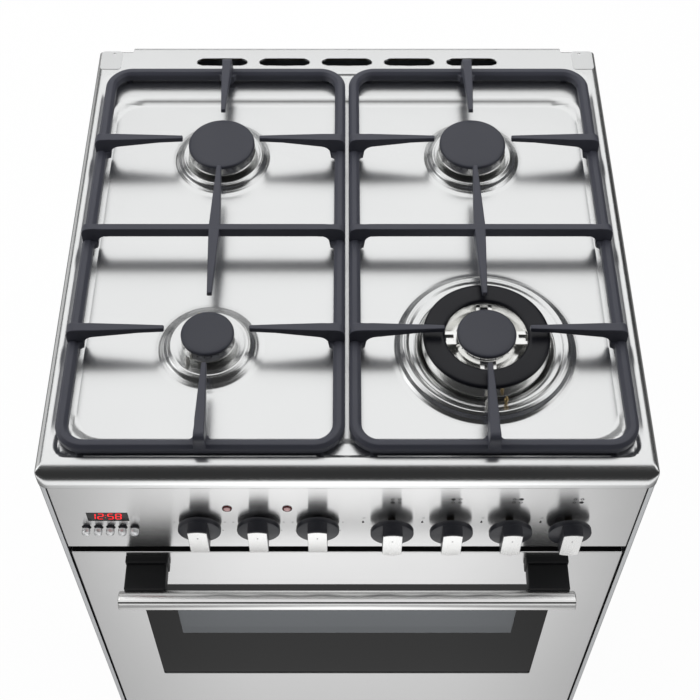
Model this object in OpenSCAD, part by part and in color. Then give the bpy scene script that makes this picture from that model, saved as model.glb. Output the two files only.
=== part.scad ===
// Free-standing dual fuel range cooker: a gas hob over an electric fan oven and a storage drawer.
// Inside the modules x = 0 is the middle of the cooker, y = 0 the rolled front edge of the hob
// and z = 0 the floor. placed() then moves every piece so that the origin is the middle of the footprint.

/* [Body] */
// Width across the side panels
body_w = 600; // [580:1:640]
// Depth from the rolled front edge of the hob to its rear edge
body_d = 600; // [590:1:640]
// Height from the floor to the crest of the hob rim
body_h = 900; // [880:1:940]
// Height of the levelling feet
foot_h = 90; // [75:1:105]
// Diameter of a levelling foot
foot_d = 42; // [34:1:50]
// Thickness of the pressed steel sheet
sheet = 1.2; // [0.9:0.1:1.4]
// Gap left between fixed sheet pieces
seam = 0.5; // [0.3:0.1:0.8]

/* [Hob top] */
// Radius of the rolled front edge
nose_r = 18; // [15:1:19]
// Height of the skirt that hangs round the hob
skirt_h = 20; // [20:1:24]
// Radius of the bead along each side
bead_r = 7.5; // [6:0.5:8]
// Depth of the deck below the rim
deck_drop = 3; // [2:0.5:4]
// Depth of the well below the rim
well_drop = 8; // [7:0.5:10]
// Width of the flat strip with the vents at the rear
rear_strip = 44; // [42:1:50]
// Length of a vent slot
vent_len = 60; // [50:1:64]
// Width of a vent slot
vent_w = 12; // [8:1:14]
// Distance from one vent slot to the next
vent_pitch = 75; // [70:1:80]
// Number of vent slots
vent_count = 5; // [3:2:5]

/* [Burners] */
// Place of the front burners behind the front edge
burner_front = 158; // [150:1:160]
// Distance of the rear burners from the rear edge
burner_back = 178; // [174:1:185]
// Radius of a semi-rapid cap
semi_cap_r = 37; // [34:0.5:38]
// Radius of the auxiliary cap
aux_cap_r = 27; // [25:0.5:29]
// Outer radius of the ring cap on the triple crown burner
ring_cap_r = 64.5; // [62:0.5:66]
// Inner radius of that ring cap
ring_cap_bore = 42; // [40:0.5:43]
// Radius of the centre cap on the triple crown burner
centre_cap_r = 30; // [28:0.5:31]
// Thickness of an enamelled cap
cap_t = 5; // [4:0.5:5.5]
// Height of the cap tops above the hob rim
cap_rise = 20; // [19:0.5:21]

/* [Pan supports] */
// Gap between the two pan supports
support_gap = 4; // [3:0.5:8]
// Distance of the outer frame from the side of the cooker
support_inset = 17; // [16:0.5:20]
// Place of the frame behind the front edge of the hob
support_front = 26; // [25:0.5:28]
// Distance of the frame from the rear edge of the hob
support_rear = 47; // [46:1:54]
// Width of a frame bar
bar_w = 12; // [10:0.5:13]
// Height of a frame bar
bar_h = 14; // [12:0.5:14]
// Bevel on each edge of a frame bar
bar_bevel = 3.5; // [2:0.5:4]
// Outer radius of the frame corners
frame_r = 30; // [24:1:40]
// Height of the finger tops above the hob rim
finger_rise = 29.5; // [28.5:0.5:31]
// Width of a finger at its root
finger_root_w = 14; // [12:0.5:15]
// Width of a finger at its tip
finger_tip_w = 5.6; // [5:0.2:8]
// Height of a finger at its tip
finger_tip_h = 5.5; // [5:0.5:6]
// Distance from a burner's middle to the finger tips
finger_reach = 43; // [42:0.5:46]

/* [Controls] */
// Distance of the fascia behind the front edge of the hob
fascia_y = 9.8; // [8:0.2:14]
// Height of the fascia's lower edge below the hob rim
fascia_bottom = 160; // [155:1:165]
// Height of the knob axes below the hob rim
knob_drop = 110; // [108:1:112]
// Distance from knob to knob as a share of the width
knob_share = 0.1005; // [0.099:0.0005:0.101]
// Radius of the knob skirt
knob_r = 22; // [20:0.5:23]
// Gap between the fascia and an oven knob
knob_gap = 2.9; // [2.5:0.1:3.3]
// Gap between the fascia and a gas knob, with room for its push
gas_knob_gap = 6.4; // [6:0.1:7]
// Thickness of the knob skirt
knob_skirt_t = 6; // [4.5:0.1:6.5]
// Distance that the grip stands out of the skirt
grip_out = 12.4; // [11:0.2:14]
// Width of the grip
grip_w = 20; // [16:0.5:22]
// Radius of a gas tap spindle
spindle_r = 4; // [3.5:0.1:4.5]
// Width of the clock display
display_w = 42; // [38:0.5:46]
// Height of the clock display
display_h = 17.6; // [15:0.2:19]
// Distance from one clock button to the next
button_pitch = 12.4; // [11.5:0.1:13]
// Radius of a clock button
button_r = 4.4; // [3.8:0.1:4.8]
// Radius of an indicator lamp
lamp_r = 5; // [4:0.2:6]

/* [Oven] */
// Width inside the oven
cavity_w = 440; // [420:1:450]
// Height inside the oven
cavity_h = 350; // [330:1:360]
// Depth inside the oven
cavity_d = 420; // [400:1:425]
// Height of the oven floor above the floor of the room
cavity_z = 335; // [330:1:340]
// Thickness of the insulation
insulation_t = 24; // [18:1:28]
// Radius of the fan wheel
fan_r = 70; // [60:1:80]
// Number of fan blades
fan_blades = 16; // [12:1:20]
// Thickness of the wires of the shelf frame
shelf_wire = 6; // [5:0.5:7]
// Number of thin rods across the shelf
shelf_rods = 15; // [9:2:19]

/* [Door] */
// Gap between the door and each side panel
door_side_gap = 8; // [7.5:0.5:10]
// Height of the door
door_h = 451; // [445:1:455]
// Gap between the fascia and the door
door_gap = 9; // [7:0.5:10]
// Distance of the door face behind the front edge of the hob
door_y = 8; // [6:0.5:9]
// Thickness of the door
door_t = 36; // [34:0.5:37]
// Width of the window
window_w = 462; // [440:1:480]
// Height of the window
window_h = 260; // [240:1:270]
// Distance from the top of the door to the window
window_top = 78; // [74:1:90]
// Length of the handle bar
handle_w = 478; // [460:1:500]
// Depth of the handle bar
handle_d = 20; // [20:1:23]
// Height of the handle bar
handle_h = 19; // [16:1:19]
// Distance from the door face to the middle of the handle
handle_out = 47; // [44:1:50]
// Distance from the top of the door to the middle of the handle
handle_drop = 18; // [17:1:22]
// Width of a handle bracket
bracket_w = 45; // [40:1:50]

/* [Drawer] */
// Gap between the door and the drawer front
drawer_gap = 12; // [10:0.5:13]
// Height of the drawer's lower edge above the floor
drawer_z = 105; // [102:1:106]
// Depth of the drawer box
drawer_d = 480; // [420:1:490]

/* [Hidden] */
$fn = 64;
hob_z = body_h;
deck_z = hob_z - deck_drop;
well_z = hob_z - well_drop;
half_w = body_w / 2;
skirt_z = hob_z - skirt_h;
// Burners and controls keep their places across the width
burner_x = body_w * 0.235;
burner_rear = body_d - burner_back;
// Running clearance round a shaft
run_fit = 0.05;
// Clearance between pieces that pass each other
pass = 0.6;
// Overshoot of a cutting solid
cut = 1;

// Hob recesses
nose_slope = 4;
deck_x = half_w - 2 * bead_r;
deck_front = nose_r + 1 + nose_slope;
deck_rear = body_d - rear_strip;
deck_r = 14;
well_x = deck_x - 8;
well_front = deck_front + 17;
well_rear = deck_rear - 39;
well_r = 34;
well_slope = 8;
plan_r = 12;
corner_notch_w = 42;
corner_notch_d = 6.5;
fold_end = 8;

// Burner records: x, y, radii of the mound, its collar, the hole and the crown,
// then the distance of spark plug and thermocouple from the middle and their angles
REAR_LEFT = [-burner_x, burner_rear, semi_cap_r + 18, semi_cap_r + 6.5, semi_cap_r - 5, semi_cap_r - 2,
    semi_cap_r + 1.8, [52, 118]];
REAR_RIGHT = [burner_x, burner_rear, semi_cap_r + 18, semi_cap_r + 6.5, semi_cap_r - 5, semi_cap_r - 2,
    semi_cap_r + 1.8, [52, 118]];
FRONT_LEFT = [-burner_x, burner_front, aux_cap_r + 27, aux_cap_r + 12, aux_cap_r - 5, aux_cap_r - 2,
    aux_cap_r + 3.8, [-130, 110]];
FRONT_RIGHT = [burner_x, burner_front, ring_cap_r + 30, ring_cap_r + 19.5, ring_cap_r - 6.5, ring_cap_r - 3,
    ring_cap_r + 8, [-92, -77]];
SMALL_BURNERS = [REAR_LEFT, REAR_RIGHT, FRONT_LEFT];
BURNERS = [REAR_LEFT, REAR_RIGHT, FRONT_LEFT, FRONT_RIGHT];
collar_rise = well_drop;
wok_crest = well_drop + 1;
cup_depth = 44;
cup_wall = 3.2;
cup_flange_t = 2;
cup_step = 10;
bridge_w = 16;
cup_top = hob_z - sheet - 0.4;
cap_z = hob_z + cap_rise - cap_t;
crown_z = hob_z + 5;
ring_cap_z = cap_z - 3;
electrode_r = 2.2;
cap_rest = 0.4;
port_w = 1;

// Pan supports
frame_z = deck_z + 1.6;
foot_pad_h = frame_z - deck_z;
support_rest = 0.3;
frame_x0 = support_gap / 2;
frame_x1 = half_w - support_inset;
frame_y0 = support_front;
frame_y1 = body_d - support_rear;
support_d = frame_y1 - frame_y0;
finger_z = hob_z + finger_rise;
cross_y = (burner_front + burner_rear) / 2;

// Controls
knob_z = hob_z - knob_drop;
knob_pitch = body_w * knob_share;
oven_knob_x = -2.496 * knob_pitch;
gas_knob_x = 0.76 * knob_pitch;
fascia_z = hob_z - fascia_bottom;
fascia_top = skirt_z + 5;
fascia_x = half_w - 6;
knob_y = fascia_y - knob_gap;
gas_knob_y = fascia_y - gas_knob_gap;
spindle_hole_r = spindle_r + 1;
spindle_tip = 12;
spindle_flat = 2.6;
push = 2.5;
clock_x = oven_knob_x - 1.526 * knob_pitch;
display_z = knob_z + 16;
button_z = knob_z - 6;
button_out = 8;
clock_w = min(66, 2 * (clock_x + fascia_x) - 4);
button_travel = 1;
lamp_z = knob_z + 33.5;
OVEN_KNOBS = [for (i = [0 : 2]) oven_knob_x + i * knob_pitch];
GAS_KNOBS = [for (i = [0 : 3]) gas_knob_x + i * knob_pitch];
rail_y = fascia_y + 62;
rail_r = 9;
inlet_x = half_w - 36;
inlet_r = 10.5;

// Carcass
frame_y = door_y + door_t + 6;
back_y = body_d - 28;
side_top = skirt_z - seam;
flange_w = 5;
open_r = 22;
cavity_y = frame_y + sheet + 0.2;
cavity_back = cavity_y + cavity_d;
cavity_mid = cavity_z + cavity_h / 2;
drawer_h = fascia_z - door_gap - door_h - drawer_gap - drawer_z;
drawer_open_w = body_w - 64;
drawer_open_z = drawer_z + 7;
drawer_open_h = drawer_h - 12;
box_w = drawer_open_w - 8;
box_z = drawer_open_z + 6;
box_h = drawer_open_h - 24;

// Door
door_w = body_w - 2 * door_side_gap;
door_z = fascia_z - door_gap - door_h;
door_top = door_z + door_h;
window_z = door_top - window_top - window_h;
pane_t = 4;
pane_lap = 10;
handle_z = door_top - handle_drop;
handle_y = door_y - handle_out;
bracket_x = handle_w / 2 - bracket_w / 2 - 4;
hinge_y = door_y + 15;
hinge_z = door_z + 12;
hinge_x = cavity_w / 2 + 30;
hinge_pin_r = 3;
arm_t = 4;
arm_h = 9;
slot_w = 16;
liner_y = door_y + door_t - sheet;
inner_window_w = window_w - 54;
inner_window_h = window_h - 70;
inner_window_z = window_z + 48;

// Fan and shelf
fan_z = cavity_mid;
baffle_y = cavity_back - 42;
shelf_w = cavity_w - 8;
shelf_d = cavity_d - 68;
shelf_y = cavity_y + 18;
ledge_out = 8;
ledge_h = 6;
LEDGES = [for (i = [0 : 3]) cavity_z + 72 + i * 78];
shelf_z = LEDGES[1] + ledge_h / 2 + shelf_wire / 2 + support_rest;

// Small fixed pieces
cover_w = 25;
cover_d = 31;
cover_t = 1.4;
cover_hole_r = 2;
cover_hole_in = 19.5;
cover_hole_back = 12;
terminal_x = -half_w / 2;
terminal_z = knob_z - 30;
terminal_w = 84;
terminal_h = 56;
terminal_d = 20;
terminal_r = 4;
gland_r = 7;
gland_bore = 4.2;
gland_l = 12;
rail_w = 16;
rail_z = box_z - 0.5;
guide_x = box_w / 2 + 1.5;
guide_z = box_z + 34;
element_r = 3.2;
grill_z = cavity_z + cavity_h - 22;
grill_w = cavity_w - 140;
grill_d = cavity_d / 2;
grill_inset = 90;
terminal_gap = 12;
motor_half = 26;
fan_shaft_r = 3;
fan_y = cavity_back - 34;
baffle_w = 2 * (fan_r + 50);
baffle_h = 2 * (fan_r + 44);
baffle_post = 14;
baffle_post_r = 5;
baffle_r = 18;
lamp_x = -cavity_w / 2 + 60;
oven_lamp_z = cavity_z + cavity_h - 55;
gasket_t = 5.6;
pipe_r = 4;
pipe_z = hob_z - cup_depth - 9;
TAP_BURNERS = [FRONT_LEFT, REAR_LEFT, REAR_RIGHT, FRONT_RIGHT];
tap_y = fascia_y + 14;
face_plate_t = 1.2;
switch_y = fascia_y + sheet + 3;
stud_r = 5;
bush_h = 16;
foot_x = half_w - 45;
foot_front = frame_y + 34;
foot_rear = back_y - 40;
drawer_front_t = 22;

// Middle of the footprint, from the handle to the rear edge of the hob
front_reach = handle_y - handle_d / 2;
mid_y = (body_d + front_reach) / 2;

// Moves a piece from the working frame to the middle of the footprint
module placed() {
    translate([0, -mid_y, 0]) children();
}

// Extrudes an outline drawn in x and z along y, from y0
module upright(y0, len) {
    translate([0, y0 + len, 0])
        rotate([90, 0, 0])
            linear_extrude(len) children();
}

// Extrudes an outline drawn in y and z along x, from x0
module lengthwise(x0, len) {
    translate([x0, 0, 0])
        rotate([90, 0, 90])
            linear_extrude(len) children();
}

// Rectangle with round corners, centred
module round_rect(w, h, r) {
    square([w - 2 * r, h], center = true);
    square([w, h - 2 * r], center = true);
    for (x = [-1, 1], y = [-1, 1])
        translate([x * (w / 2 - r), y * (h / 2 - r)]) circle(r);
}

// Slot with round ends along x, centred
module obround(len, w) {
    square([len - w, w], center = true);
    for (x = [-1, 1])
        translate([x * (len - w) / 2, 0]) circle(w / 2);
}

// Upright rod along y, from y0
module rod_y(x, z, r, y0, len) {
    translate([x, y0, z])
        rotate([-90, 0, 0])
            cylinder(r = r, h = len);
}

// Rod along x, from x0
module rod_x(y, z, r, x0, len) {
    translate([x0, y, z])
        rotate([0, 90, 0])
            cylinder(r = r, h = len);
}

// Pressed recess with sloping sides, cut down from z_top to z_bot
module recess(x_half, y0, y1, z_top, z_bot, slope, r) {
    over = z_top + 30;
    lengthwise(-x_half + r, 2 * (x_half - r))
        polygon([[y0 + slope, z_bot], [y1 - slope, z_bot], [y1, z_top], [y1, over], [y0, over], [y0, z_top]]);
    upright(y0 + r, y1 - y0 - 2 * r)
        polygon([[-x_half + slope, z_bot], [x_half - slope, z_bot], [x_half, z_top], [x_half, over],
            [-x_half, over], [-x_half, z_top]]);
    for (x = [-1, 1], y = [y0 + r, y1 - r])
        translate([x * (x_half - r), y, z_bot]) {
            cylinder(r1 = r - slope, r2 = r, h = z_top - z_bot);
            translate([0, 0, z_top - z_bot]) cylinder(r = r, h = over - z_top);
        }
}

// Outline of the hob seen from the side, drawn in by t
module hob_side_outline(t) {
    low = skirt_z - (t > 0 ? cut : 0);
    intersection() {
        translate([t, low]) square([body_d - 2 * t, hob_z - t - low]);
        union() {
            translate([nose_r, low]) square([body_d, hob_z]);
            translate([0, low - hob_z]) square([body_d, 2 * hob_z - nose_r - low]);
            translate([nose_r, hob_z - nose_r]) circle(nose_r - t);
        }
    }
}

// Outline of the hob seen from the front, drawn in by t
module hob_front_outline(t) {
    low = skirt_z - (t > 0 ? cut : 0);
    inner = half_w - bead_r;
    intersection() {
        translate([-half_w + t, low]) square([body_w - 2 * t, hob_z - t - low]);
        union() {
            translate([-inner, low]) square([2 * inner, hob_z]);
            translate([-half_w, low - hob_z]) square([body_w, 2 * hob_z - bead_r - low]);
            for (x = [-1, 1])
                translate([x * inner, hob_z - bead_r]) circle(bead_r - t);
        }
    }
}

// Plan of the hob, with round front corners and a shallow step at each rear corner, drawn in by t
module hob_plan(t) {
    r = plan_r - t;
    translate([-half_w + t, plan_r]) square([body_w - 2 * t, body_d - corner_notch_d - plan_r - t]);
    translate([-half_w + corner_notch_w + t, plan_r])
        square([body_w - 2 * corner_notch_w - 2 * t, body_d - plan_r - t]);
    translate([-half_w + plan_r, t]) square([body_w - 2 * plan_r, plan_r]);
    for (x = [-1, 1])
        translate([x * (half_w - plan_r), plan_r]) circle(r);
}

// Raised steel ring round a small burner: a flared foot and a flat collar, lowered by t
module burner_mound(b, t) {
    base = b[2] - t;
    collar = b[3] - t;
    rise = collar_rise - t;
    translate([b[0], b[1], well_z])
        rotate_extrude()
            polygon([[0, -t - cut], [base, -t - cut], [base, -t], [collar + (base - collar) * 0.45, 1.4 - t],
                [collar + (base - collar) * 0.16, rise * 0.5], [collar, rise - 0.9], [collar - 1.4, rise],
                [b[4] + 1.5, rise], [0, rise]]);
}

// Stepped steel ring round the triple crown burner, lowered by t
module wok_mound(b, t) {
    base = b[2] - t;
    top = wok_crest - t;
    crest = b[3];
    translate([b[0], b[1], well_z])
        rotate_extrude()
            polygon([[0, -t - cut], [base, -t - cut], [base, -t], [crest + 4.5, 1.6 - t], [crest + 1.8 - t, top - 1.5],
                [crest - t, top], [crest - 4, top - 0.4], [crest - 7.5, top - 2.6], [crest - 9, top - 2.2],
                [crest - 11.5, top - 2.6], [crest - 20, 2.2 - t], [b[4] + 1, 1 - t], [0, 1 - t]]);
}

// Solid under one face of the hob sheet: t is 0 for the top face and the sheet thickness for the lower one
module hob_form(t) {
    difference() {
        intersection() {
            lengthwise(-half_w, body_w) hob_side_outline(t);
            upright(0, body_d) hob_front_outline(t);
            translate([0, 0, skirt_z - 2 * cut]) linear_extrude(skirt_h + 3 * cut) hob_plan(t);
        }
        recess(deck_x + t, deck_front - t, deck_rear + t, hob_z - t, deck_z - t, nose_slope, deck_r);
        recess(well_x + t, well_front - t, well_rear + t, deck_z - t, well_z - t, well_slope, well_r);
    }
    for (b = SMALL_BURNERS) burner_mound(b, t);
    wok_mound(FRONT_RIGHT, t);
}

// Place of a burner's spark plug or thermocouple, seen from above
function electrode_at(b, a) = [b[0] + b[6] * cos(a), b[1] + b[6] * sin(a), 0];

// Pressed hob: one sheet with its rim, deck and well, the burner rings, the vents and all its holes
module hob_top() {
    vent_y = body_d - 25;
    color("silver") difference() {
        hob_form(0);
        hob_form(sheet);
        for (b = BURNERS) {
            translate([b[0], b[1], skirt_z]) cylinder(r = b[4], h = 2 * skirt_h);
            for (a = b[7])
                translate(electrode_at(b, a)) translate([0, 0, skirt_z])
                    cylinder(r = electrode_r + 0.6, h = 2 * skirt_h);
        }
        for (i = [0 : vent_count - 1])
            translate([(i - (vent_count - 1) / 2) * vent_pitch, vent_y, hob_z - 2 * sheet])
                linear_extrude(3 * sheet) obround(vent_len, vent_w);
        for (x = [-1, 1])
            translate([x * (half_w - cover_hole_in), body_d - cover_hole_back, hob_z - 2 * sheet])
                cylinder(r = cover_hole_r, h = 3 * sheet);
    }
}

// Plates that close the hinge seats of a lid at the rear corners
module hinge_cover_plates() {
    color("gainsboro")
        for (x = [-1, 1])
            translate([x * (half_w - 4 - cover_w / 2), body_d - 7 - cover_d / 2, hob_z + 0.05])
                difference() {
                    linear_extrude(cover_t) round_rect(cover_w, cover_d, 4);
                    translate([-x * (cover_hole_in - 4 - cover_w / 2) , cover_d / 2 + 7 - cover_hole_back, -cut])
                        cylinder(r = cover_hole_r, h = 4 * cover_t);
                }
}

// Control fascia: folded sheet with holes for the spindles, the clock and the lamps
module control_fascia() {
    fold = frame_y - fascia_y - 2 * seam;
    color("silver") difference() {
        translate([-fascia_x, fascia_y, fascia_z]) cube([2 * fascia_x, fold, fascia_top - fascia_z]);
        translate([-fascia_x - cut, fascia_y + sheet, fascia_z + sheet])
            cube([2 * fascia_x + 2 * cut, fold, fascia_top - fascia_z - 2 * sheet]);
        translate([-fascia_x - cut, fascia_y + 14, fascia_top - 2 * sheet])
            cube([2 * fascia_x + 2 * cut, fold, 3 * sheet]);
        for (x = concat(OVEN_KNOBS, GAS_KNOBS))
            rod_y(x, knob_z, spindle_hole_r, fascia_y - cut, sheet + 2 * cut);
        translate([clock_x, 0, display_z]) upright(fascia_y - cut, sheet + 2 * cut)
            square([display_w, display_h], center = true);
        for (i = [-2 : 2])
            rod_y(clock_x + i * button_pitch, button_z, button_r + 0.5, fascia_y - cut, sheet + 2 * cut);
        for (i = [0 : 1])
            rod_y((OVEN_KNOBS[i] + OVEN_KNOBS[i + 1]) / 2, lamp_z, lamp_r + 0.1, fascia_y - cut, sheet + 2 * cut);
    }
}

// Side panel seen from above: a sheet with a narrow front flange and a rear hem
module side_panel(side) {
    rear = body_d - 10;
    base = foot_h + 1;
    color("lightgray") mirror([side < 0 ? 1 : 0, 0, 0])
        translate([0, 0, base]) linear_extrude(side_top - base) {
            translate([half_w - sheet, fascia_y]) square([sheet, rear - fascia_y]);
            translate([half_w - flange_w, fascia_y]) square([flange_w, sheet]);
            translate([half_w - 14, rear - sheet]) square([14, sheet]);
        }
}

// Louvred back panel with the hole for the gas inlet; its top is folded back under the vents of the hob
module back_panel() {
    base = foot_h + 3;
    w = body_w - 2 * sheet - 2 * seam;
    fold_w = body_w - 2 * (corner_notch_w + fold_end);
    fold_rise = 3;
    color("darkgray") difference() {
        union() {
            translate([-w / 2, back_y, base]) cube([w, sheet, side_top - base]);
            translate([-fold_w / 2, back_y, side_top - 10]) cube([fold_w, sheet, 10 + fold_rise]);
            translate([-fold_w / 2, back_y, side_top + fold_rise - sheet])
                cube([fold_w, body_d - sheet - pass - back_y, sheet]);
        }
        rod_y(inlet_x, knob_z, inlet_r + 2, back_y - cut, sheet + 2 * cut);
        for (row = [0 : 3], x = [-2 : 2])
            translate([x * 90, 0, fan_z + 90 + row * 22]) upright(back_y - cut, sheet + 2 * cut) obround(64, 5);
        for (row = [0 : 3], x = [-2 : 2])
            translate([x * 90, 0, cavity_z - 110 + row * 22]) upright(back_y - cut, sheet + 2 * cut) obround(64, 5);
    }
    // Cover of the mains terminals, with the gland for the cable
    color("darkgray") difference() {
        union() {
            translate([terminal_x, 0, terminal_z]) upright(back_y + sheet / 2, terminal_d)
                round_rect(terminal_w, terminal_h, terminal_r);
            translate([terminal_x, back_y + terminal_d / 2 + 1, terminal_z - terminal_h / 2 - gland_l + 3])
                cylinder(r = gland_r, h = gland_l);
        }
        translate([terminal_x, 0, terminal_z]) upright(back_y + sheet, terminal_d - 2 * sheet)
            round_rect(terminal_w - terminal_r, terminal_h - terminal_r, terminal_r - 1);
        translate([terminal_x, back_y + terminal_d / 2 + 1, terminal_z - terminal_h / 2 - gland_l + 2])
            cylinder(r = gland_bore, h = gland_l + 2);
    }
}

// Base tray with its folded sides, the bushes of the feet and the two drawer rails
module base_tray() {
    w = body_w - 2 * sheet - 2 * seam;
    y0 = frame_y + sheet + seam;
    len = back_y - y0 - seam;
    rail_len = drawer_d - 40;
    color("gray") difference() {
        union() {
            translate([-w / 2, y0, foot_h]) cube([w, len, sheet]);
            for (x = [-1, 1]) {
                translate([x * (w / 2 - sheet / 2), y0 + len / 2, foot_h + 11]) cube([sheet, len, 22], center = true);
                // Guide beside the drawer box and the ledge that it slides on
                translate([x * (guide_x + sheet / 2), y0 + rail_len / 2, (foot_h + guide_z) / 2])
                    cube([sheet, rail_len, guide_z - foot_h], center = true);
                translate([x * (guide_x + sheet - rail_w / 2), y0 + rail_len / 2, rail_z - sheet / 2])
                    cube([rail_w, rail_len, sheet], center = true);
                for (y = [foot_front, foot_rear])
                    translate([x * foot_x, y, foot_h]) cylinder(r = stud_r + 4, h = bush_h);
            }
        }
        for (x = [-1, 1], y = [foot_front, foot_rear])
            translate([x * foot_x, y, foot_h - cut]) cylinder(r = stud_r + run_fit, h = bush_h + 2 * cut);
    }
}

// Front frame round the oven mouth and the drawer mouth, with the fixed hinge arms
module oven_front_frame() {
    base = foot_h + 2;
    w = body_w - 2 * sheet - 2 * seam;
    color("dimgray") difference() {
        union() {
            translate([-w / 2, frame_y, base]) cube([w, sheet, fascia_z - base - seam]);
            for (x = [-1, 1]) {
                translate([x * hinge_x - arm_t / 2, hinge_y, hinge_z - arm_h / 2])
                    cube([arm_t, frame_y - hinge_y + cut, arm_h]);
                rod_x(hinge_y, hinge_z, arm_h / 2, x * hinge_x - arm_t / 2, arm_t);
            }
        }
        translate([0, 0, cavity_mid]) upright(frame_y - cut, sheet + 2 * cut)
            round_rect(cavity_w, cavity_h, open_r);
        translate([0, 0, drawer_open_z + drawer_open_h / 2]) upright(frame_y - cut, sheet + 2 * cut)
            square([drawer_open_w, drawer_open_h], center = true);
        for (x = [-1, 1])
            rod_x(hinge_y, hinge_z, hinge_pin_r + run_fit, x * hinge_x - arm_t, 2 * arm_t);
    }
}

// Enamelled oven liner with pressed ledges for the shelves
module oven_cavity() {
    color("slategray") difference() {
        union() {
            translate([0, 0, cavity_mid]) upright(cavity_y, cavity_d + sheet)
                difference() {
                    round_rect(cavity_w + 2 * sheet, cavity_h + 2 * sheet, open_r + sheet);
                    round_rect(cavity_w, cavity_h, open_r);
                }
            translate([0, 0, cavity_mid]) upright(cavity_back, sheet)
                round_rect(cavity_w + 2 * sheet, cavity_h + 2 * sheet, open_r + sheet);
            for (z = LEDGES, x = [-1, 1])
                translate([x * (cavity_w / 2 - ledge_out / 2), cavity_y + 30 + (cavity_d - 90) / 2, z])
                    cube([ledge_out + sheet, cavity_d - 90, ledge_h], center = true);
        }
        rod_y(0, fan_z, 6, cavity_back - cut, sheet + 2 * cut);
        rod_y(lamp_x, oven_lamp_z, 16, cavity_back - cut, sheet + 2 * cut);
    }
}

// Mineral wool jacket: open at the front, with room for the motor and the lamp
module oven_insulation() {
    in_w = cavity_w + 2 * sheet + 2 * seam;
    in_h = cavity_h + 2 * sheet + 2 * seam;
    y0 = cavity_y + 4;
    color("khaki") difference() {
        translate([0, 0, cavity_mid]) upright(y0, cavity_d + insulation_t)
            round_rect(in_w + 2 * insulation_t, in_h + 2 * insulation_t, open_r + insulation_t);
        translate([0, 0, cavity_mid]) upright(y0 - cut, cavity_d - 4 + sheet + seam + cut)
            round_rect(in_w, in_h, open_r);
        rod_y(0, fan_z, 50, cavity_back - cut, 2 * insulation_t);
        rod_y(lamp_x, oven_lamp_z, 24, cavity_back - cut, 2 * insulation_t);
    }
}

// Bent tube heating element in a flat zigzag
module zigzag_element(w, d, runs) {
    pitch = w / (runs - 1);
    for (i = [0 : runs - 1]) {
        rod_y(-w / 2 + i * pitch, 0, element_r, 0, d);
        for (y = [0, d])
            translate([-w / 2 + i * pitch, y, 0]) sphere(element_r);
    }
    for (i = [0 : runs - 2])
        rod_x(i % 2 == 0 ? d : 0, 0, element_r, -w / 2 + i * pitch, pitch);
}

// Grill element under the roof and the ring element round the fan
module oven_elements() {
    color("darkslategray") {
        translate([0, cavity_y + grill_inset, grill_z]) zigzag_element(grill_w, grill_d, 6);
        for (x = [-1, 1])
            rod_y(x * grill_w / 2, grill_z, element_r, cavity_y + grill_inset, cavity_d - grill_inset);
        // Ring element round the fan wheel
        translate([0, cavity_back - 22, fan_z]) rotate([90, 0, 0])
            rotate_extrude() translate([fan_r + 18, 0]) circle(element_r, $fn = 24);
        for (x = [-1, 1])
            rod_y(x * terminal_gap, fan_z + fan_r + 17, element_r, cavity_back - 22, 22);
    }
}

// Pressed baffle in front of the fan, with an intake grille of ring slots
module fan_baffle() {
    color("lightslategray") difference() {
        union() {
            translate([0, 0, fan_z]) upright(baffle_y, sheet) round_rect(baffle_w, baffle_h, baffle_r);
            for (x = [-1, 1], z = [-1, 1])
                rod_y(x * (baffle_w / 2 - baffle_post), fan_z + z * (baffle_h / 2 - baffle_post), baffle_post_r,
                    baffle_y, cavity_back - baffle_y);
        }
        for (ring = [1 : 4])
            for (i = [0 : 3 + 4 * ring])
                rotate_about_fan(i * 360 / (4 + 4 * ring))
                    translate([ring * 12, baffle_y - cut, -3]) cube([4, sheet + 2 * cut, 6]);
    }
}

// Turns a piece about the fan axis
module rotate_about_fan(a) {
    translate([0, 0, fan_z]) rotate([0, a, 0]) children();
}

// Wheel of the oven fan: back plate, bent blades, hub and shaft
module fan_wheel() {
    blade_h = 22;
    color("silver") {
        rod_y(0, fan_z, fan_r, fan_y + blade_h, 1.5);
        rod_y(0, fan_z, 12, fan_y + 6, blade_h - 6 + 1.5);
        rod_y(0, fan_z, fan_shaft_r, fan_y + blade_h, cavity_back + 40 - fan_y - blade_h);
        for (i = [0 : fan_blades - 1])
            rotate_about_fan(i * 360 / fan_blades)
                translate([fan_r - 24, fan_y, 0]) rotate([0, 28, 0]) translate([0, 0, -0.6])
                    cube([22, blade_h + 0.5, 1.2]);
    }
}

// Shaded pole motor of the fan, behind the oven
module fan_motor() {
    y0 = cavity_back + sheet + 2;
    color("dimgray") difference() {
        union() {
            rod_y(0, fan_z, 40, y0, 4);
            translate([-motor_half, y0 + 4, fan_z - motor_half]) cube([2 * motor_half, 26, 2 * motor_half]);
            rod_y(0, fan_z, 22, y0 + 30, 14);
        }
        rod_y(0, fan_z, fan_shaft_r + run_fit, y0 - cut, 60);
    }
}

// Oven lamp: a domed glass in front of a holder that passes through the rear wall
module oven_lamp() {
    color("whitesmoke") translate([lamp_x, cavity_back - 0.3, oven_lamp_z]) rotate([90, 0, 0])
        rotate_extrude()
            polygon([[0, -38], [14, -38], [14, 0], [20, 0], [20, 4], [18, 9], [13, 14], [7, 17], [0, 18]]);
}

// Braided seal round the oven mouth
module door_gasket() {
    color("darkslategray") translate([0, 0, cavity_mid]) upright(frame_y - gasket_t, gasket_t)
        difference() {
            round_rect(cavity_w + 34, cavity_h + 34, open_r + 17);
            round_rect(cavity_w + 16, cavity_h + 16, open_r + 8);
        }
}

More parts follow.
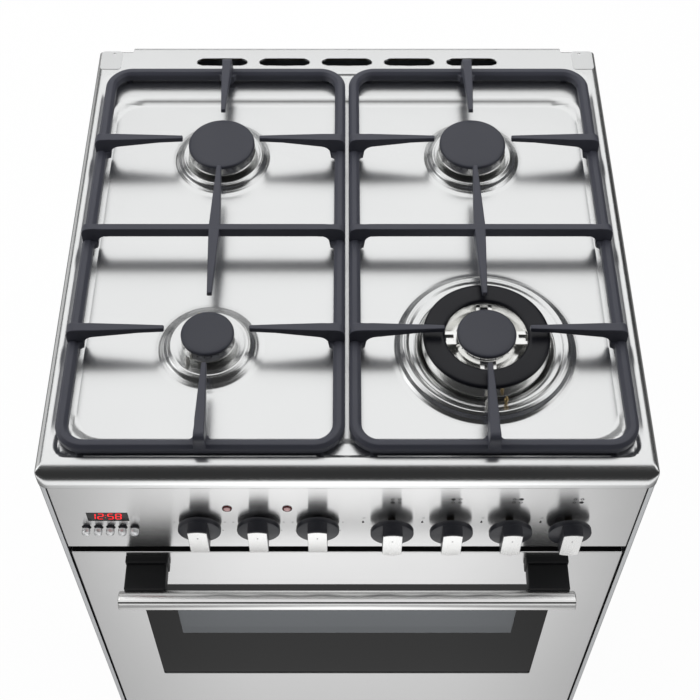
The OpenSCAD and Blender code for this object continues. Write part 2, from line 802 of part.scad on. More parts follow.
// Gas rail with its four taps, the pipes to the burners and the inlet at the back
module gas_manifold() {
    color("goldenrod") difference() {
        union() {
            rod_x(rail_y, knob_z, rail_r, GAS_KNOBS[0] - 22, inlet_x - GAS_KNOBS[0] + 22);
            translate([inlet_x, rail_y, knob_z]) sphere(rail_r);
            rod_y(inlet_x, knob_z, rail_r, rail_y, back_y - 8 - rail_y);
            rod_y(inlet_x, knob_z, inlet_r, back_y - 14, body_d - 4 - back_y + 14);
            for (i = [0 : 3]) {
                x = GAS_KNOBS[i];
                b = TAP_BURNERS[i];
                level = pipe_z - 9 * i;
                rod_y(x, knob_z, 10, tap_y, rail_y - tap_y);
                translate([x - 9, tap_y + 16, knob_z - 9]) cube([18, 20, 22]);
                translate([x, tap_y + 26, knob_z]) cylinder(r = pipe_r, h = level - knob_z);
                translate([x, tap_y + 26, level]) sphere(pipe_r);
                rod_y(x, level, pipe_r, tap_y + 26, b[1] - tap_y - 26);
                translate([x, b[1], level]) sphere(pipe_r);
                rod_x(b[1], level, pipe_r, min(x, b[0]), abs(x - b[0]));
                translate([b[0], b[1], level]) sphere(pipe_r);
                translate([b[0], b[1], level]) cylinder(r = pipe_r, h = hob_z - cup_depth - 0.5 - level);
            }
        }
        for (x = GAS_KNOBS)
            rod_y(x, knob_z, spindle_r + run_fit, tap_y - cut, 16);
        rod_y(inlet_x, knob_z, inlet_r - 4, body_d - 30, 40);
    }
}

// Cups under the hob that hold the injectors and carry the burner heads
module burner_cups() {
    color("lightgray")
        for (b = BURNERS) {
            wall_r = b[4] - 1;
            bore_r = wall_r - cup_wall;
            top = b[4] > 50 ? well_z - sheet - 0.4 : cup_top;
            flange = b[6] + electrode_r + 0.2;
            base = hob_z - cup_depth;
            translate([b[0], b[1], 0]) rotate_extrude()
                polygon([[0, base], [wall_r, base], [wall_r, top - cup_flange_t], [flange, top - cup_flange_t],
                    [flange, top], [bore_r, top], [bore_r, top - cup_step], [bore_r - 5, top - cup_step],
                    [bore_r - 5, base + 3], [0, base + 3]]);
        }
}

// Spark plug and thermocouple beside each burner
module ignition_electrodes() {
    color("ivory")
        for (b = BURNERS) {
            top = b[4] > 50 ? well_z - sheet - 0.4 : cup_top;
            // The rear ones are short, so that the crown's flare clears them
            ceramic_h = b[4] > 50 ? 14 : b[6] - b[5] > 5 ? 10 : 6;
            for (a = b[7])
                translate(electrode_at(b, a)) translate([0, 0, top]) {
                    cylinder(r = electrode_r, h = ceramic_h);
                    cylinder(r = 0.9, h = ceramic_h + 4);
                }
        }
}

// Crown of flame ports: radial slots cut down from the top of a ring
module port_slots(r, count, z, depth, w) {
    for (i = [0 : count - 1])
        rotate([0, 0, i * 360 / count])
            translate([r - 5, -w / 2, z - depth]) cube([12, w, depth + cut]);
}

// Head of a semi-rapid or auxiliary burner: a neck in the cup and a crown of flame ports
module small_head(b) {
    crown = b[5];
    neck = b[4] - 1 - cup_wall - 0.2;
    seat = cap_z - cap_rest;
    floor_z = cup_top - cup_step;
    flare = 2.6;
    translate([b[0], b[1], 0]) difference() {
        rotate_extrude()
            polygon([[neck - 5, floor_z], [neck, floor_z], [neck, crown_z - 2], [crown + flare - 0.8, crown_z],
                [crown + flare, crown_z + 0.8], [crown + flare, crown_z + 3], [crown + 0.6, seat - 1.6], [crown, seat],
                [crown - 4, seat], [crown - 5.5, crown_z + 2], [neck - 5, crown_z + 1]]);
        port_slots(crown, round(crown * 0.9), seat, 3, port_w);
    }
}

// Head of the triple crown burner: outer ring, inner crown and the bridges between them
module wok_head(b) {
    outer = b[5];
    neck = b[4] - 1 - cup_wall - 0.2;
    hub_r = centre_cap_r - 2;
    floor_z = well_z - sheet - 0.4 - cup_step;
    seat = ring_cap_z - cap_rest;
    hub_seat = cap_z - cap_rest;
    web_z = hob_z + 1;
    flare = 3.6;
    translate([b[0], b[1], 0]) difference() {
        union() {
            rotate_extrude()
                polygon([[0, floor_z + 8], [14, floor_z + 8], [20, web_z - 3], [neck - 6, web_z - 3],
                    [neck - 6, floor_z], [neck, floor_z], [neck, hob_z - 3], [outer + flare, hob_z - 1],
                    [outer + flare, hob_z + 1.5], [outer + 0.8, seat - 2], [outer, seat], [ring_cap_bore + 1, seat],
                    [ring_cap_bore - 1, seat - 3], [hub_r + flare + 4, web_z], [hub_r + flare + 1, web_z],
                    [hub_r + flare, web_z + 1], [hub_r + flare, hub_seat - 7], [hub_r + 0.6, hub_seat - 1.6],
                    [hub_r, hub_seat], [hub_r - 4, hub_seat], [hub_r - 6, hob_z + 4], [0, hob_z + 4]]);
            for (a = [0 : 90 : 270])
                rotate([0, 0, a])
                    difference() {
                        translate([hub_r - 2, -bridge_w / 2, web_z - 1]) cube([bridge_w, bridge_w, seat - web_z]);
                        translate([hub_r + 5, -bridge_w / 4, seat - 4]) cube([bridge_w, bridge_w / 2, 4]);
                    }
        }
        port_slots(outer, 40, seat, 3, port_w);
        port_slots(hub_r, 24, hub_seat, 3, port_w);
    }
}

// The four cast burner heads, each loose in its cup
module burner_heads() {
    color("lightgray") {
        for (b = SMALL_BURNERS) small_head(b);
        wok_head(FRONT_RIGHT);
    }
}

// Flat enamelled burner cap with a rounded edge and a locating rim underneath
module burner_cap(b, z, r) {
    color("dimgray") translate([b[0], b[1], z]) rotate_extrude()
        polygon([[0, 0.5], [r - 8.6, 0.5], [r - 8.6, -2.6], [r - 7.2, -2.6], [r - 7.2, 0], [r - 0.6, 0], [r, 0.8],
            [r, cap_t - 2.2], [r - 0.6, cap_t - 1.1], [r - 2.2, cap_t - 0.4], [r - 7, cap_t - 0.1], [0, cap_t]]);
}

// Ring cap of the triple crown burner
module ring_cap() {
    b = FRONT_RIGHT;
    r = ring_cap_r;
    bore = ring_cap_bore;
    color("dimgray") translate([b[0], b[1], ring_cap_z]) rotate_extrude()
        polygon([[bore, 0.6], [bore + 0.6, 0], [r - 0.6, 0], [r, 0.8], [r, cap_t - 2.4], [r - 0.8, cap_t - 1],
            [r - 3, cap_t - 0.2], [r - 6, cap_t], [bore + 5, cap_t], [bore + 1.5, cap_t - 0.6], [bore, cap_t - 2]]);
}

// Octagonal section of a frame bar, with its outer face at 0
module bar_section() {
    c = bar_bevel;
    polygon([[c, 0], [bar_w - c, 0], [bar_w, c], [bar_w, bar_h - c], [bar_w - c, bar_h], [c, bar_h],
        [0, bar_h - c], [0, c]]);
}

// Cast finger along +y from the frame: a raised root, a gusset and a taper to the tip
module finger(len) {
    top = finger_z;
    low = frame_z + 2;
    intersection() {
        lengthwise(-finger_root_w, 2 * finger_root_w)
            polygon([[1.5, low], [1.5, top - 7], [2.3, top - 4], [4.2, top - 1.6], [7, top - 0.3], [9, top],
                [len - 0.6, top], [len, top - 0.6], [len, top - finger_tip_h], [len - 26, top - finger_tip_h - 0.4],
                [27, top - 10.5], [22, top - 12.5], [18.5, top - 17], [17, low]]);
        translate([0, 0, low - cut]) linear_extrude(top - low + 2 * cut)
            polygon([[-finger_root_w / 2, 0], [finger_root_w / 2, 0], [finger_tip_w / 2, len],
                [-finger_tip_w / 2, len]]);
    }
}

// Pan support on the right; the left one is its mirror image
module pan_support() {
    r = frame_r;
    w = frame_x1 - frame_x0;
    color("dimgray") {
        // Straight bars, each with its outer face outwards
        lengthwise(frame_x0 + r, w - 2 * r) translate([frame_y0, frame_z]) bar_section();
        lengthwise(frame_x0 + r, w - 2 * r) translate([frame_y1 - bar_w, frame_z]) bar_section();
        upright(frame_y0 + r, support_d - 2 * r) translate([frame_x0, frame_z]) bar_section();
        upright(frame_y0 + r, support_d - 2 * r) translate([frame_x1 - bar_w, frame_z]) bar_section();
        for (c = [[frame_x1 - r, frame_y1 - r, 0], [frame_x0 + r, frame_y1 - r, 90],
                [frame_x0 + r, frame_y0 + r, 180], [frame_x1 - r, frame_y0 + r, 270]])
            translate([c[0], c[1], frame_z]) rotate([0, 0, c[2]])
                rotate_extrude(angle = 90) translate([r - bar_w, 0]) bar_section();
        // Crossbar between the two burners
        cross_len = w / 2;
        translate([frame_x0 - 1, cross_y, 0]) rotate([0, 0, -90]) finger_bar(cross_len + 3);
        translate([frame_x1 + 1, cross_y, 0]) rotate([0, 0, 90]) finger_bar(cross_len + 3);
        reach = finger_reach;
        inner = burner_x - reach - frame_x0 + 1;
        outer = frame_x1 + 1 - burner_x - reach;
        for (y = [burner_front, burner_rear]) {
            translate([frame_x0 - 1, y, 0]) rotate([0, 0, -90]) finger(inner);
            translate([frame_x1 + 1, y, 0]) rotate([0, 0, 90]) finger(outer);
        }
        translate([burner_x, frame_y0 - 1, 0]) finger(burner_front - reach - frame_y0 + 1);
        translate([burner_x, frame_y1 + 1, 0]) rotate([0, 0, 180]) finger(frame_y1 + 1 - burner_rear - reach);
        translate([burner_x, cross_y, 0]) cross_finger(burner_rear - reach - cross_y);
        translate([burner_x, cross_y, 0]) rotate([0, 0, 180]) cross_finger(cross_y - burner_front - reach);
        // Pads under the corners that rest on the hob
        for (x = [frame_x0 + 24, frame_x1 - 24], y = [frame_y0 + bar_w / 2, frame_y1 - bar_w / 2])
            translate([x, y, deck_z + support_rest]) cylinder(r = 4, h = foot_pad_h - support_rest + 1);
    }
}

// Half of the crossbar: the same root as a finger, but of even width
module finger_bar(len) {
    top = finger_z;
    low = frame_z + 2;
    intersection() {
        lengthwise(-finger_root_w, 2 * finger_root_w)
            polygon([[1.5, low], [1.5, top - 7], [2.3, top - 4], [4.2, top - 1.6], [7, top - 0.3], [9, top],
                [len, top], [len, top - 11], [27, top - 11.5], [22, top - 13], [18.5, top - 17], [17, low]]);
        translate([0, 0, low - cut]) linear_extrude(top - low + 2 * cut)
            translate([-5, 0]) square([10, len]);
    }
}

// Finger that starts at the crossbar
module cross_finger(len) {
    top = finger_z;
    intersection() {
        lengthwise(-finger_root_w, 2 * finger_root_w)
            polygon([[0, top - 11], [0, top], [len - 0.6, top], [len, top - 0.6], [len, top - finger_tip_h],
                [len - 26, top - finger_tip_h - 0.4]]);
        translate([0, 0, top - 20]) linear_extrude(30)
            polygon([[-finger_root_w / 2, 0], [finger_root_w / 2, 0], [finger_tip_w / 2, len], [-finger_tip_w / 2, len]]);
    }
}

// Knob: round skirt, bar grip across it and the bore or stem behind; the grip carries a face plate
module knob_body(x, back) {
    grip_y = back - knob_skirt_t - grip_out + face_plate_t;
    rod_y(x, knob_z, knob_r, back - knob_skirt_t, knob_skirt_t);
    intersection() {
        translate([x - grip_w / 2, grip_y, knob_z - knob_r]) cube([grip_w, grip_out + 1, 2 * knob_r]);
        rod_y(x, knob_z, knob_r, grip_y, grip_out + 1);
    }
}

// Bright plate on the front of a knob's grip
module knob_face(x, back) {
    y = back - knob_skirt_t - grip_out;
    intersection() {
        translate([x - grip_w / 2, y, knob_z - knob_r]) cube([grip_w, face_plate_t - 0.02, 2 * knob_r]);
        rod_y(x, knob_z, knob_r, y, face_plate_t - 0.02);
    }
}

// Oven knob with its moulded stem, which turns in the switch
module oven_knob(x) {
    color("dimgray") {
        knob_body(x, knob_y);
        rod_y(x, knob_z, spindle_r, knob_y - 1, switch_y + 12 - knob_y);
    }
    color("silver") knob_face(x, knob_y);
}

// Gas knob: its bore has room for the push that lights the burner
module gas_knob(x) {
    color("dimgray") difference() {
        knob_body(x, gas_knob_y);
        difference() {
            rod_y(x, knob_z, spindle_r + run_fit, gas_knob_y - spindle_tip - push - 0.5, spindle_tip + push + 2);
            translate([x - spindle_r - cut, gas_knob_y - spindle_tip - push - cut, knob_z + spindle_flat + 0.15])
                cube([2 * spindle_r + 2 * cut, spindle_tip, spindle_r]);
        }
    }
    color("silver") knob_face(x, gas_knob_y);
}

// Tap spindle: it turns in the tap, and the knob slides on its front end, which has one flat side
module gas_spindle(x) {
    color("goldenrod") difference() {
        rod_y(x, knob_z, spindle_r, gas_knob_y - spindle_tip, tap_y + 14 - gas_knob_y + spindle_tip);
        translate([x - spindle_r - cut, gas_knob_y - spindle_tip - cut, knob_z + spindle_flat])
            cube([2 * spindle_r + 2 * cut, spindle_tip + cut, spindle_r]);
    }
}

// Function selector, thermostat and timer behind the oven knobs
module oven_switches() {
    color("burlywood")
        for (x = OVEN_KNOBS)
            difference() {
                union() {
                    translate([x - 21, switch_y, knob_z - 18]) cube([42, 3, 36]);
                    rod_y(x, knob_z, 16, switch_y, 30);
                    for (t = [-1, 1])
                        translate([x + t * 8 - 3, switch_y + 30, knob_z - 1]) cube([6, 9, 2]);
                }
                rod_y(x, knob_z, spindle_r + run_fit, switch_y - cut, 16);
            }
}

// Clock with its display glass in the fascia
module clock_module() {
    color("black") {
        translate([clock_x - display_w / 2 + 0.3, fascia_y + 0.4, display_z - display_h / 2 + 0.3])
            cube([display_w - 0.6, 7, display_h - 0.6]);
        translate([clock_x - clock_w / 2, fascia_y + 6.6, button_z - 10])
            cube([clock_w, 26, display_z - button_z + 24]);
    }
}

// Round push button of the clock, with the collar that keeps it in the fascia
module clock_button(i) {
    x = clock_x + (i - 3) * button_pitch;
    color("silver") {
        rod_y(x, button_z, button_r, fascia_y - button_out, button_out + 5);
        rod_y(x, button_z, button_r + 1, fascia_y + sheet + 0.3, 1.2);
    }
}

// Indicator lamps beside the oven knobs
module indicator_lamps() {
    color("firebrick")
        for (i = [0 : 1])
            translate([(OVEN_KNOBS[i] + OVEN_KNOBS[i + 1]) / 2, fascia_y + 10, lamp_z]) rotate([90, 0, 0])
                rotate_extrude()
                    polygon([[0, 0], [lamp_r - 1, 0], [lamp_r - 1, 7], [lamp_r, 9], [lamp_r, 10.6], [lamp_r - 2, 12], [0, 12.6]]);
}

// Levelling foot: a plastic column with a broad base, on a stud that turns in the base tray
module levelling_foot(x, y) {
    r = foot_d / 2;
    top = foot_h - 0.4;
    color("black") translate([x, y, 0]) rotate_extrude()
        polygon([[0, 0], [r - 1.5, 0], [r, 1.5], [r, 9], [r - 4, 14], [r - 6, 26], [r - 6, top - 12],
            [r - 3, top - 8], [r - 3, top], [stud_r, top], [stud_r, foot_h + bush_h], [0, foot_h + bush_h]]);
}

// Outer door skin: folded steel with the window cut out and slots for the hinge arms
module door_panel() {
    depth = door_t - sheet - seam;
    color("silver") difference() {
        translate([0, 0, door_z + door_h / 2]) upright(door_y, depth)
            round_rect(door_w, door_h, 2);
        translate([0, 0, door_z + door_h / 2]) upright(door_y + sheet, depth)
            round_rect(door_w - 2 * sheet, door_h - 2 * sheet, 1);
        translate([0, 0, window_z + window_h / 2]) upright(door_y - cut, sheet + 2 * cut)
            round_rect(window_w, window_h, 3);
        for (x = [-1, 1])
            translate([x * hinge_x - slot_w / 2, hinge_y - arm_h, door_z - cut])
                cube([slot_w, door_t, sheet + 2 * cut]);
        // The lower fold is shorter, so that it swings clear of the drawer
        translate([-door_w / 2 + 2 * sheet, door_y + door_t - 7, door_z - cut])
            cube([door_w - 4 * sheet, door_t, sheet + 2 * cut]);
        for (x = [-1, 1])
            translate([x * (door_w / 2 - sheet), door_y + door_t, door_z])
                cube([3 * sheet, 14, 12], center = true);
    }
}

// Inner enamelled door panel with its window and the slots for the hinge arms
module door_liner() {
    low = door_z + 6;
    w = door_w - 4;
    h = door_top - 3 - low;
    color("dimgray") difference() {
        union() {
            translate([0, 0, low + h / 2]) upright(liner_y, sheet) round_rect(w, h, 4);
            // Folded rim round the window that holds the inner glass
            translate([0, 0, inner_window_z + inner_window_h / 2]) upright(liner_y - 4, 4 + sheet / 2)
                difference() {
                    round_rect(inner_window_w + 60, inner_window_h + 60, 12);
                    round_rect(inner_window_w + 56, inner_window_h + 56, 10);
                }
        }
        translate([0, 0, inner_window_z + inner_window_h / 2]) upright(liner_y - cut, sheet + 2 * cut)
            round_rect(inner_window_w, inner_window_h, 9);
        for (x = [-1, 1])
            translate([x * hinge_x - slot_w / 2, liner_y - cut, low - cut])
                cube([slot_w, sheet + 2 * cut, hinge_z + arm_h - low + cut]);
    }
}

// Outer pane, bonded behind the window of the door skin
module door_outer_glass() {
    color("black") translate([0, 0, window_z + window_h / 2]) upright(door_y + sheet + 0.1, pane_t)
        round_rect(window_w + 2 * pane_lap, window_h + 2 * pane_lap, 6);
}

// Inner pane, held against the liner
module door_inner_glass() {
    color("lightblue") translate([0, 0, inner_window_z + inner_window_h / 2]) upright(liner_y - 0.1 - pane_t, pane_t)
        round_rect(inner_window_w + 50, inner_window_h + 50, 8);
}

// Handle bar: an oval tube with closed ends and a fine groove along its front
module handle_bar() {
    color("silver") difference() {
        translate([0, handle_y, handle_z]) lengthwise(-handle_w / 2, handle_w) obround(handle_d, handle_h);
        translate([-handle_w, handle_y - handle_d / 2 - cut, handle_z - 3.4]) cube([2 * handle_w, 1.7, 0.8]);
    }
}

// Handle brackets: a foot on the door, a fine joint and the block that holds the bar
module handle_brackets() {
    foot_t = 9;
    len = handle_out - handle_d / 2 + 3;
    h = handle_h + 3;
    color("black")
        for (x = [-1, 1])
            difference() {
                union() {
                    translate([x * bracket_x - bracket_w / 2, door_y - foot_t - 0.05, handle_z - h / 2 - 1])
                        cube([bracket_w, foot_t, h + 2]);
                    translate([x * bracket_x - bracket_w / 2 + 1, door_y - len, handle_z - h / 2])
                        cube([bracket_w - 2, len - 1, h - 1]);
                }
                translate([0, handle_y, handle_z]) lengthwise(-handle_w, 2 * handle_w)
                    obround(handle_d + 0.2, handle_h + 0.2);
            }
}

// Moving halves of the door hinges: two cheeks on the door and the pin through the fixed arm
module door_hinges() {
    cheek = 3;
    gap = arm_t + 2 * pass;
    top = hinge_z + 60;
    color("gray")
        for (x = [-1, 1]) {
            rod_x(hinge_y, hinge_z, hinge_pin_r, x * hinge_x - gap / 2 - cheek, gap + 2 * cheek);
            for (s = [-1, 1])
                translate([x * hinge_x + s * (gap + cheek) / 2, 0, 0])
                    translate([-cheek / 2, hinge_y - 6, hinge_z - 7]) cube([cheek, liner_y - hinge_y + 6 - 0.2, top - hinge_z + 7]);
            translate([x * hinge_x - gap / 2 - cheek, liner_y - 3.2, hinge_z + 20])
                cube([gap + 2 * cheek, 3, top - hinge_z - 20]);
        }
}

// Folded front of the storage drawer, open at the back
module drawer_front() {
    color("silver") difference() {
        translate([0, 0, drawer_z + drawer_h / 2]) upright(door_y, drawer_front_t) round_rect(door_w, drawer_h, 2);
        translate([0, 0, drawer_z + drawer_h / 2]) upright(door_y + sheet, drawer_front_t)
            round_rect(door_w - 2 * sheet, drawer_h - 2 * sheet, 1);
    }
}

// Drawer box with the wider inner plate that closes the front
module drawer_box() {
    y0 = door_y + drawer_front_t - sheet;
    color("silver") {
        translate([0, 0, drawer_z + drawer_h / 2]) upright(y0 - 0.1, sheet)
            square([door_w - 2 * sheet - 2 * seam, drawer_h - 2 * sheet - 2 * seam], center = true);
        difference() {
            translate([-box_w / 2, y0, box_z]) cube([box_w, drawer_d, box_h]);
            translate([-box_w / 2 + sheet, y0 + sheet, box_z + sheet])
                cube([box_w - 2 * sheet, drawer_d - 2 * sheet, box_h + cut]);
        }
    }
}

// Wire shelf: a round frame wire with thin rods across it
module wire_shelf() {
    r = shelf_wire / 2;
    x = shelf_w / 2 - r;
    y0 = shelf_y + r;
    y1 = shelf_y + shelf_d - r;
    thin = 1.4;
    color("silver") {
        for (s = [-1, 1]) rod_y(s * x, shelf_z, r, y0, y1 - y0);
        for (y = [y0, y1]) rod_x(y, shelf_z, r, -x, 2 * x);
        for (s = [-1, 1], y = [y0, y1]) translate([s * x, y, shelf_z]) sphere(r);
        for (i = [1 : shelf_rods])
            rod_y(-x + i * 2 * x / (shelf_rods + 1), shelf_z + r - thin, thin, y0, y1 - y0);
        rod_x((y0 + y1) / 2, shelf_z - thin, thin, -x, 2 * x);
    }
}

placed() hob_top();
placed() hinge_cover_plates();
placed() control_fascia();
placed() side_panel(-1);  // side_panel_left
placed() side_panel(1);  // side_panel_right
placed() back_panel();
placed() base_tray();
placed() oven_front_frame();
placed() oven_cavity();
placed() oven_insulation();
placed() oven_elements();
placed() fan_baffle();
placed() fan_motor();
placed() oven_lamp();
placed() door_gasket();
placed() gas_manifold();
placed() burner_cups();
placed() ignition_electrodes();
placed() burner_heads();
placed() oven_switches();
placed() clock_module();
placed() indicator_lamps();
placed() levelling_foot(-foot_x, foot_front);  // foot_front_left
placed() levelling_foot(foot_x, foot_front);  // foot_front_right
placed() levelling_foot(-foot_x, foot_rear);  // foot_rear_left
placed() levelling_foot(foot_x, foot_rear);  // foot_rear_right
placed() mirror([1, 0, 0]) pan_support();  // pan_support_left
placed() pan_support();  // pan_support_right
placed() burner_cap(REAR_LEFT, cap_z, semi_cap_r);  // cap_rear_left
placed() burner_cap(REAR_RIGHT, cap_z, semi_cap_r);  // cap_rear_right
placed() burner_cap(FRONT_LEFT, cap_z, aux_cap_r);  // cap_front_left
placed() burner_cap(FRONT_RIGHT, cap_z, centre_cap_r);  // wok_centre_cap
placed() ring_cap();  // wok_ring_cap
placed() oven_knob(OVEN_KNOBS[0]);  // oven_knob_1
placed() oven_knob(OVEN_KNOBS[1]);  // oven_knob_2
placed() oven_knob(OVEN_KNOBS[2]);  // oven_knob_3
placed() gas_knob(GAS_KNOBS[0]);  // gas_knob_1
placed() gas_knob(GAS_KNOBS[1]);  // gas_knob_2
placed() gas_knob(GAS_KNOBS[2]);  // gas_knob_3
placed() gas_knob(GAS_KNOBS[3]);  // gas_knob_4
placed() gas_spindle(GAS_KNOBS[0]);  // gas_spindle_1
placed() gas_spindle(GAS_KNOBS[1]);  // gas_spindle_2
placed() gas_spindle(GAS_KNOBS[2]);  // gas_spindle_3
placed() gas_spindle(GAS_KNOBS[3]);  // gas_spindle_4
placed() clock_button(1);  // clock_button_1
placed() clock_button(2);  // clock_button_2
placed() clock_button(3);  // clock_button_3
placed() clock_button(4);  // clock_button_4
placed() clock_button(5);  // clock_button_5
placed() door_panel();
placed() door_liner();
placed() door_outer_glass();
placed() door_inner_glass();
placed() handle_bar();
placed() handle_brackets();
placed() door_hinges();
placed() drawer_front();
placed() drawer_box();
placed() fan_wheel();
placed() wire_shelf();
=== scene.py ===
"""Free-standing dual fuel range cooker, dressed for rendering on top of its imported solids.

Lengths inside the builders are millimetres: x from the middle, y behind the rolled front edge of the hob,
z above the floor. place() turns them into the metres of the shared frame. The settings are metres and watts.
"""

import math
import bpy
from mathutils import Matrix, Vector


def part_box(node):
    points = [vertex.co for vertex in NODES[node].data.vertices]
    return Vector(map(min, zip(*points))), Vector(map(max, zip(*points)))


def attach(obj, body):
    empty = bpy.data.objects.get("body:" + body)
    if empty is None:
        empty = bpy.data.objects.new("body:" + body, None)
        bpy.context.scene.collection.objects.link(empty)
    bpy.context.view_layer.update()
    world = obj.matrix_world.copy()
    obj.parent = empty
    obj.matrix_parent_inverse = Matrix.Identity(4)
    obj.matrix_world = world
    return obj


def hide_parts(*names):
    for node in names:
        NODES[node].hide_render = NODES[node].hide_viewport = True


bl_info = {
    "name": "Range Cooker",
    "version": (1, 0, 0),
    "blender": (4, 5, 0),
    "location": "View3D > Sidebar > Cooker",
    "description": "Builds the visible pieces and finishes of a free-standing dual fuel range cooker",
    "category": "Add Mesh",
}

import bmesh
import bpy
import numpy as np
from bpy.props import FloatProperty, FloatVectorProperty, IntProperty, PointerProperty
from mathutils import Vector

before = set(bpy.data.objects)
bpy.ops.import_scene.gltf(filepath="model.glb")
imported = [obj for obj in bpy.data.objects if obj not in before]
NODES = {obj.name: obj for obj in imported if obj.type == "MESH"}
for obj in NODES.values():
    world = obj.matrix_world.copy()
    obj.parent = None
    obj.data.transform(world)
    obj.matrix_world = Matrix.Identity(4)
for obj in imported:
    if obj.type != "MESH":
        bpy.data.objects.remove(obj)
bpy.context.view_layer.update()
# Front of the hob in metres, then the crest of its pressed rings and the face of the fascia in millimetres
FRONT_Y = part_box("hob_top")[0].y
RIM_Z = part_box("hob_top")[1].z * 1000
FASCIA_Y = (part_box("control_fascia")[0].y - FRONT_Y) * 1000
# Points nearer than this many metres are one point
SAME_POINT = 2e-6


# Numbers and meshes

def spot(name):
    """Middle and size of a solid's box, in the millimetres of the builders."""
    low, high = (np.array(corner) * 1000 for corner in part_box(name))
    middle = (low + high) / 2
    middle[1] -= FRONT_Y * 1000
    return middle, high - low


def linear(hex_colour):
    """An sRGB hex colour as linear red, green, blue and 1."""
    parts = [int(hex_colour[i:i + 2], 16) / 255 for i in (1, 3, 5)]
    return tuple(c / 12.92 if c <= 0.04045 else ((c + 0.055) / 1.055) ** 2.4 for c in parts) + (1.0,)


def place(points):
    """Millimetres from the hob's front edge and the floor, as metres in the shared frame."""
    moved = np.asarray(points, float) * 0.001
    moved[..., 1] += FRONT_Y
    return moved


def grid(points, wrap_u=False, wrap_v=False):
    """Quads over points[u, v]: a row is joined to the next, and the last to the first where it wraps."""
    nu, nv = points.shape[:2]
    index = np.arange(nu * nv).reshape(nu, nv)
    here = index if wrap_u else index[:-1]
    there = np.roll(index, -1, 0) if wrap_u else index[1:]

    def sides(rows):
        """Each row's own points, and the points that come next in it."""
        return (rows, np.roll(rows, -1, 1)) if wrap_v else (rows[:, :-1], rows[:, 1:])

    a, b = sides(here)
    d, c = sides(there)
    return points.reshape(-1, 3), np.stack([a, b, c, d], -1).reshape(-1, 4)


def revolve(profile, centre, axis="z", steps=72, ring=False):
    """A profile of (radius, height) turned about an axis through centre: x = r cos t, y = r sin t.

    Axis "front" turns about -y, so that height points at the viewer. A ring's profile closes on itself, and
    any other profile starts and ends on the axis.
    """
    profile = np.asarray(profile, float)
    turn = np.linspace(0, 2 * math.pi, steps, endpoint=False)
    r, h = profile[:, 0][:, None], profile[:, 1][:, None] + 0 * turn[None]
    a, b = r * np.cos(turn)[None], r * np.sin(turn)[None]
    turned = (a, b, h) if axis == "z" else (a, -h, b)
    return grid(np.stack(turned, -1) + np.asarray(centre, float), wrap_u=ring, wrap_v=True)


def loft(sections):
    """A tube through closed sections[k, n, 3], its ends drawn to their middles so that it is closed."""
    ends = [np.repeat(s.mean(0)[None], s.shape[0], 0)[None] for s in (sections[0], sections[-1])]
    return grid(np.concatenate([ends[0], sections, ends[1]]), wrap_v=True)


def prism(outline, low, high, along="y", bevel=0.3):
    """A closed outline carried in a straight line from low to high.

    Along y it lies in x and z, and along z in x and y. At each end it shrinks by the bevel.
    """
    outline = np.asarray(outline, float)
    middle = outline.mean(0)
    span = np.abs(outline - middle).max(0)
    small = middle + (outline - middle) * (1 - bevel / span)
    order = (0, 2, 1) if along == "y" else (0, 1, 2)
    rows = ((small, low), (outline, low + bevel), (outline, high - bevel), (small, high))
    return loft(np.stack([np.column_stack([o, np.full(len(o), h)])[:, order] for o, h in rows]))


def block(low, high, radius, steps=4):
    """A box with round edges: its corner centres plus radius times the unit sphere's normal."""
    low, high = np.asarray(low, float), np.asarray(high, float)
    around = np.concatenate([math.pi / 2 * (k + np.linspace(0, 1, steps)) for k in range(4)])
    signs = np.repeat([(1, 1), (-1, 1), (-1, -1), (1, -1)], steps, axis=0)
    up = np.concatenate([np.linspace(-math.pi / 2, 0, steps), np.linspace(0, math.pi / 2, steps)])
    up_sign = np.repeat([-1, 1], steps)
    n = np.stack([np.cos(up)[:, None] * np.cos(around)[None], np.cos(up)[:, None] * np.sin(around)[None],
                  np.sin(up)[:, None] + 0 * around[None]], -1)
    s = np.stack([0 * up[:, None] + signs[:, 0][None], 0 * up[:, None] + signs[:, 1][None],
                  up_sign[:, None] + 0 * around[None]], -1)
    return loft((low + high) / 2 + s * ((high - low) / 2 - radius) + radius * n)


def in_the_scene(name, mesh, body):
    """An object for a finished mesh, at the origin and unturned, which rides on a body of the frame."""
    piece = bpy.data.objects.new(name, mesh)
    bpy.context.scene.collection.objects.link(piece)
    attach(piece, body)
    return piece


def make_piece(name, surfaces, material, body, replaced=(), closed=True, sharp=38):
    """One piece from surfaces of (points in mm, quads), with bends over so many degrees kept sharp."""
    points, quads, start = [], [], 0
    for p, q in surfaces:
        points.append(p)
        quads.append(q + start)
        start += len(p)
    mesh = bpy.data.meshes.new(name)
    mesh.from_pydata(place(np.concatenate(points)), [], np.concatenate(quads).tolist())
    work = bmesh.new()
    work.from_mesh(mesh)
    bmesh.ops.remove_doubles(work, verts=work.verts, dist=SAME_POINT)
    bmesh.ops.dissolve_degenerate(work, dist=1e-7, edges=work.edges)
    if closed:
        bmesh.ops.recalc_face_normals(work, faces=work.faces)
    work.to_mesh(mesh)
    work.free()
    mesh.shade_smooth()
    mesh.set_sharp_from_angle(angle=math.radians(sharp))
    mesh.materials.append(material)
    piece = in_the_scene(name, mesh, body)
    if replaced:
        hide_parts(*replaced)
    return piece


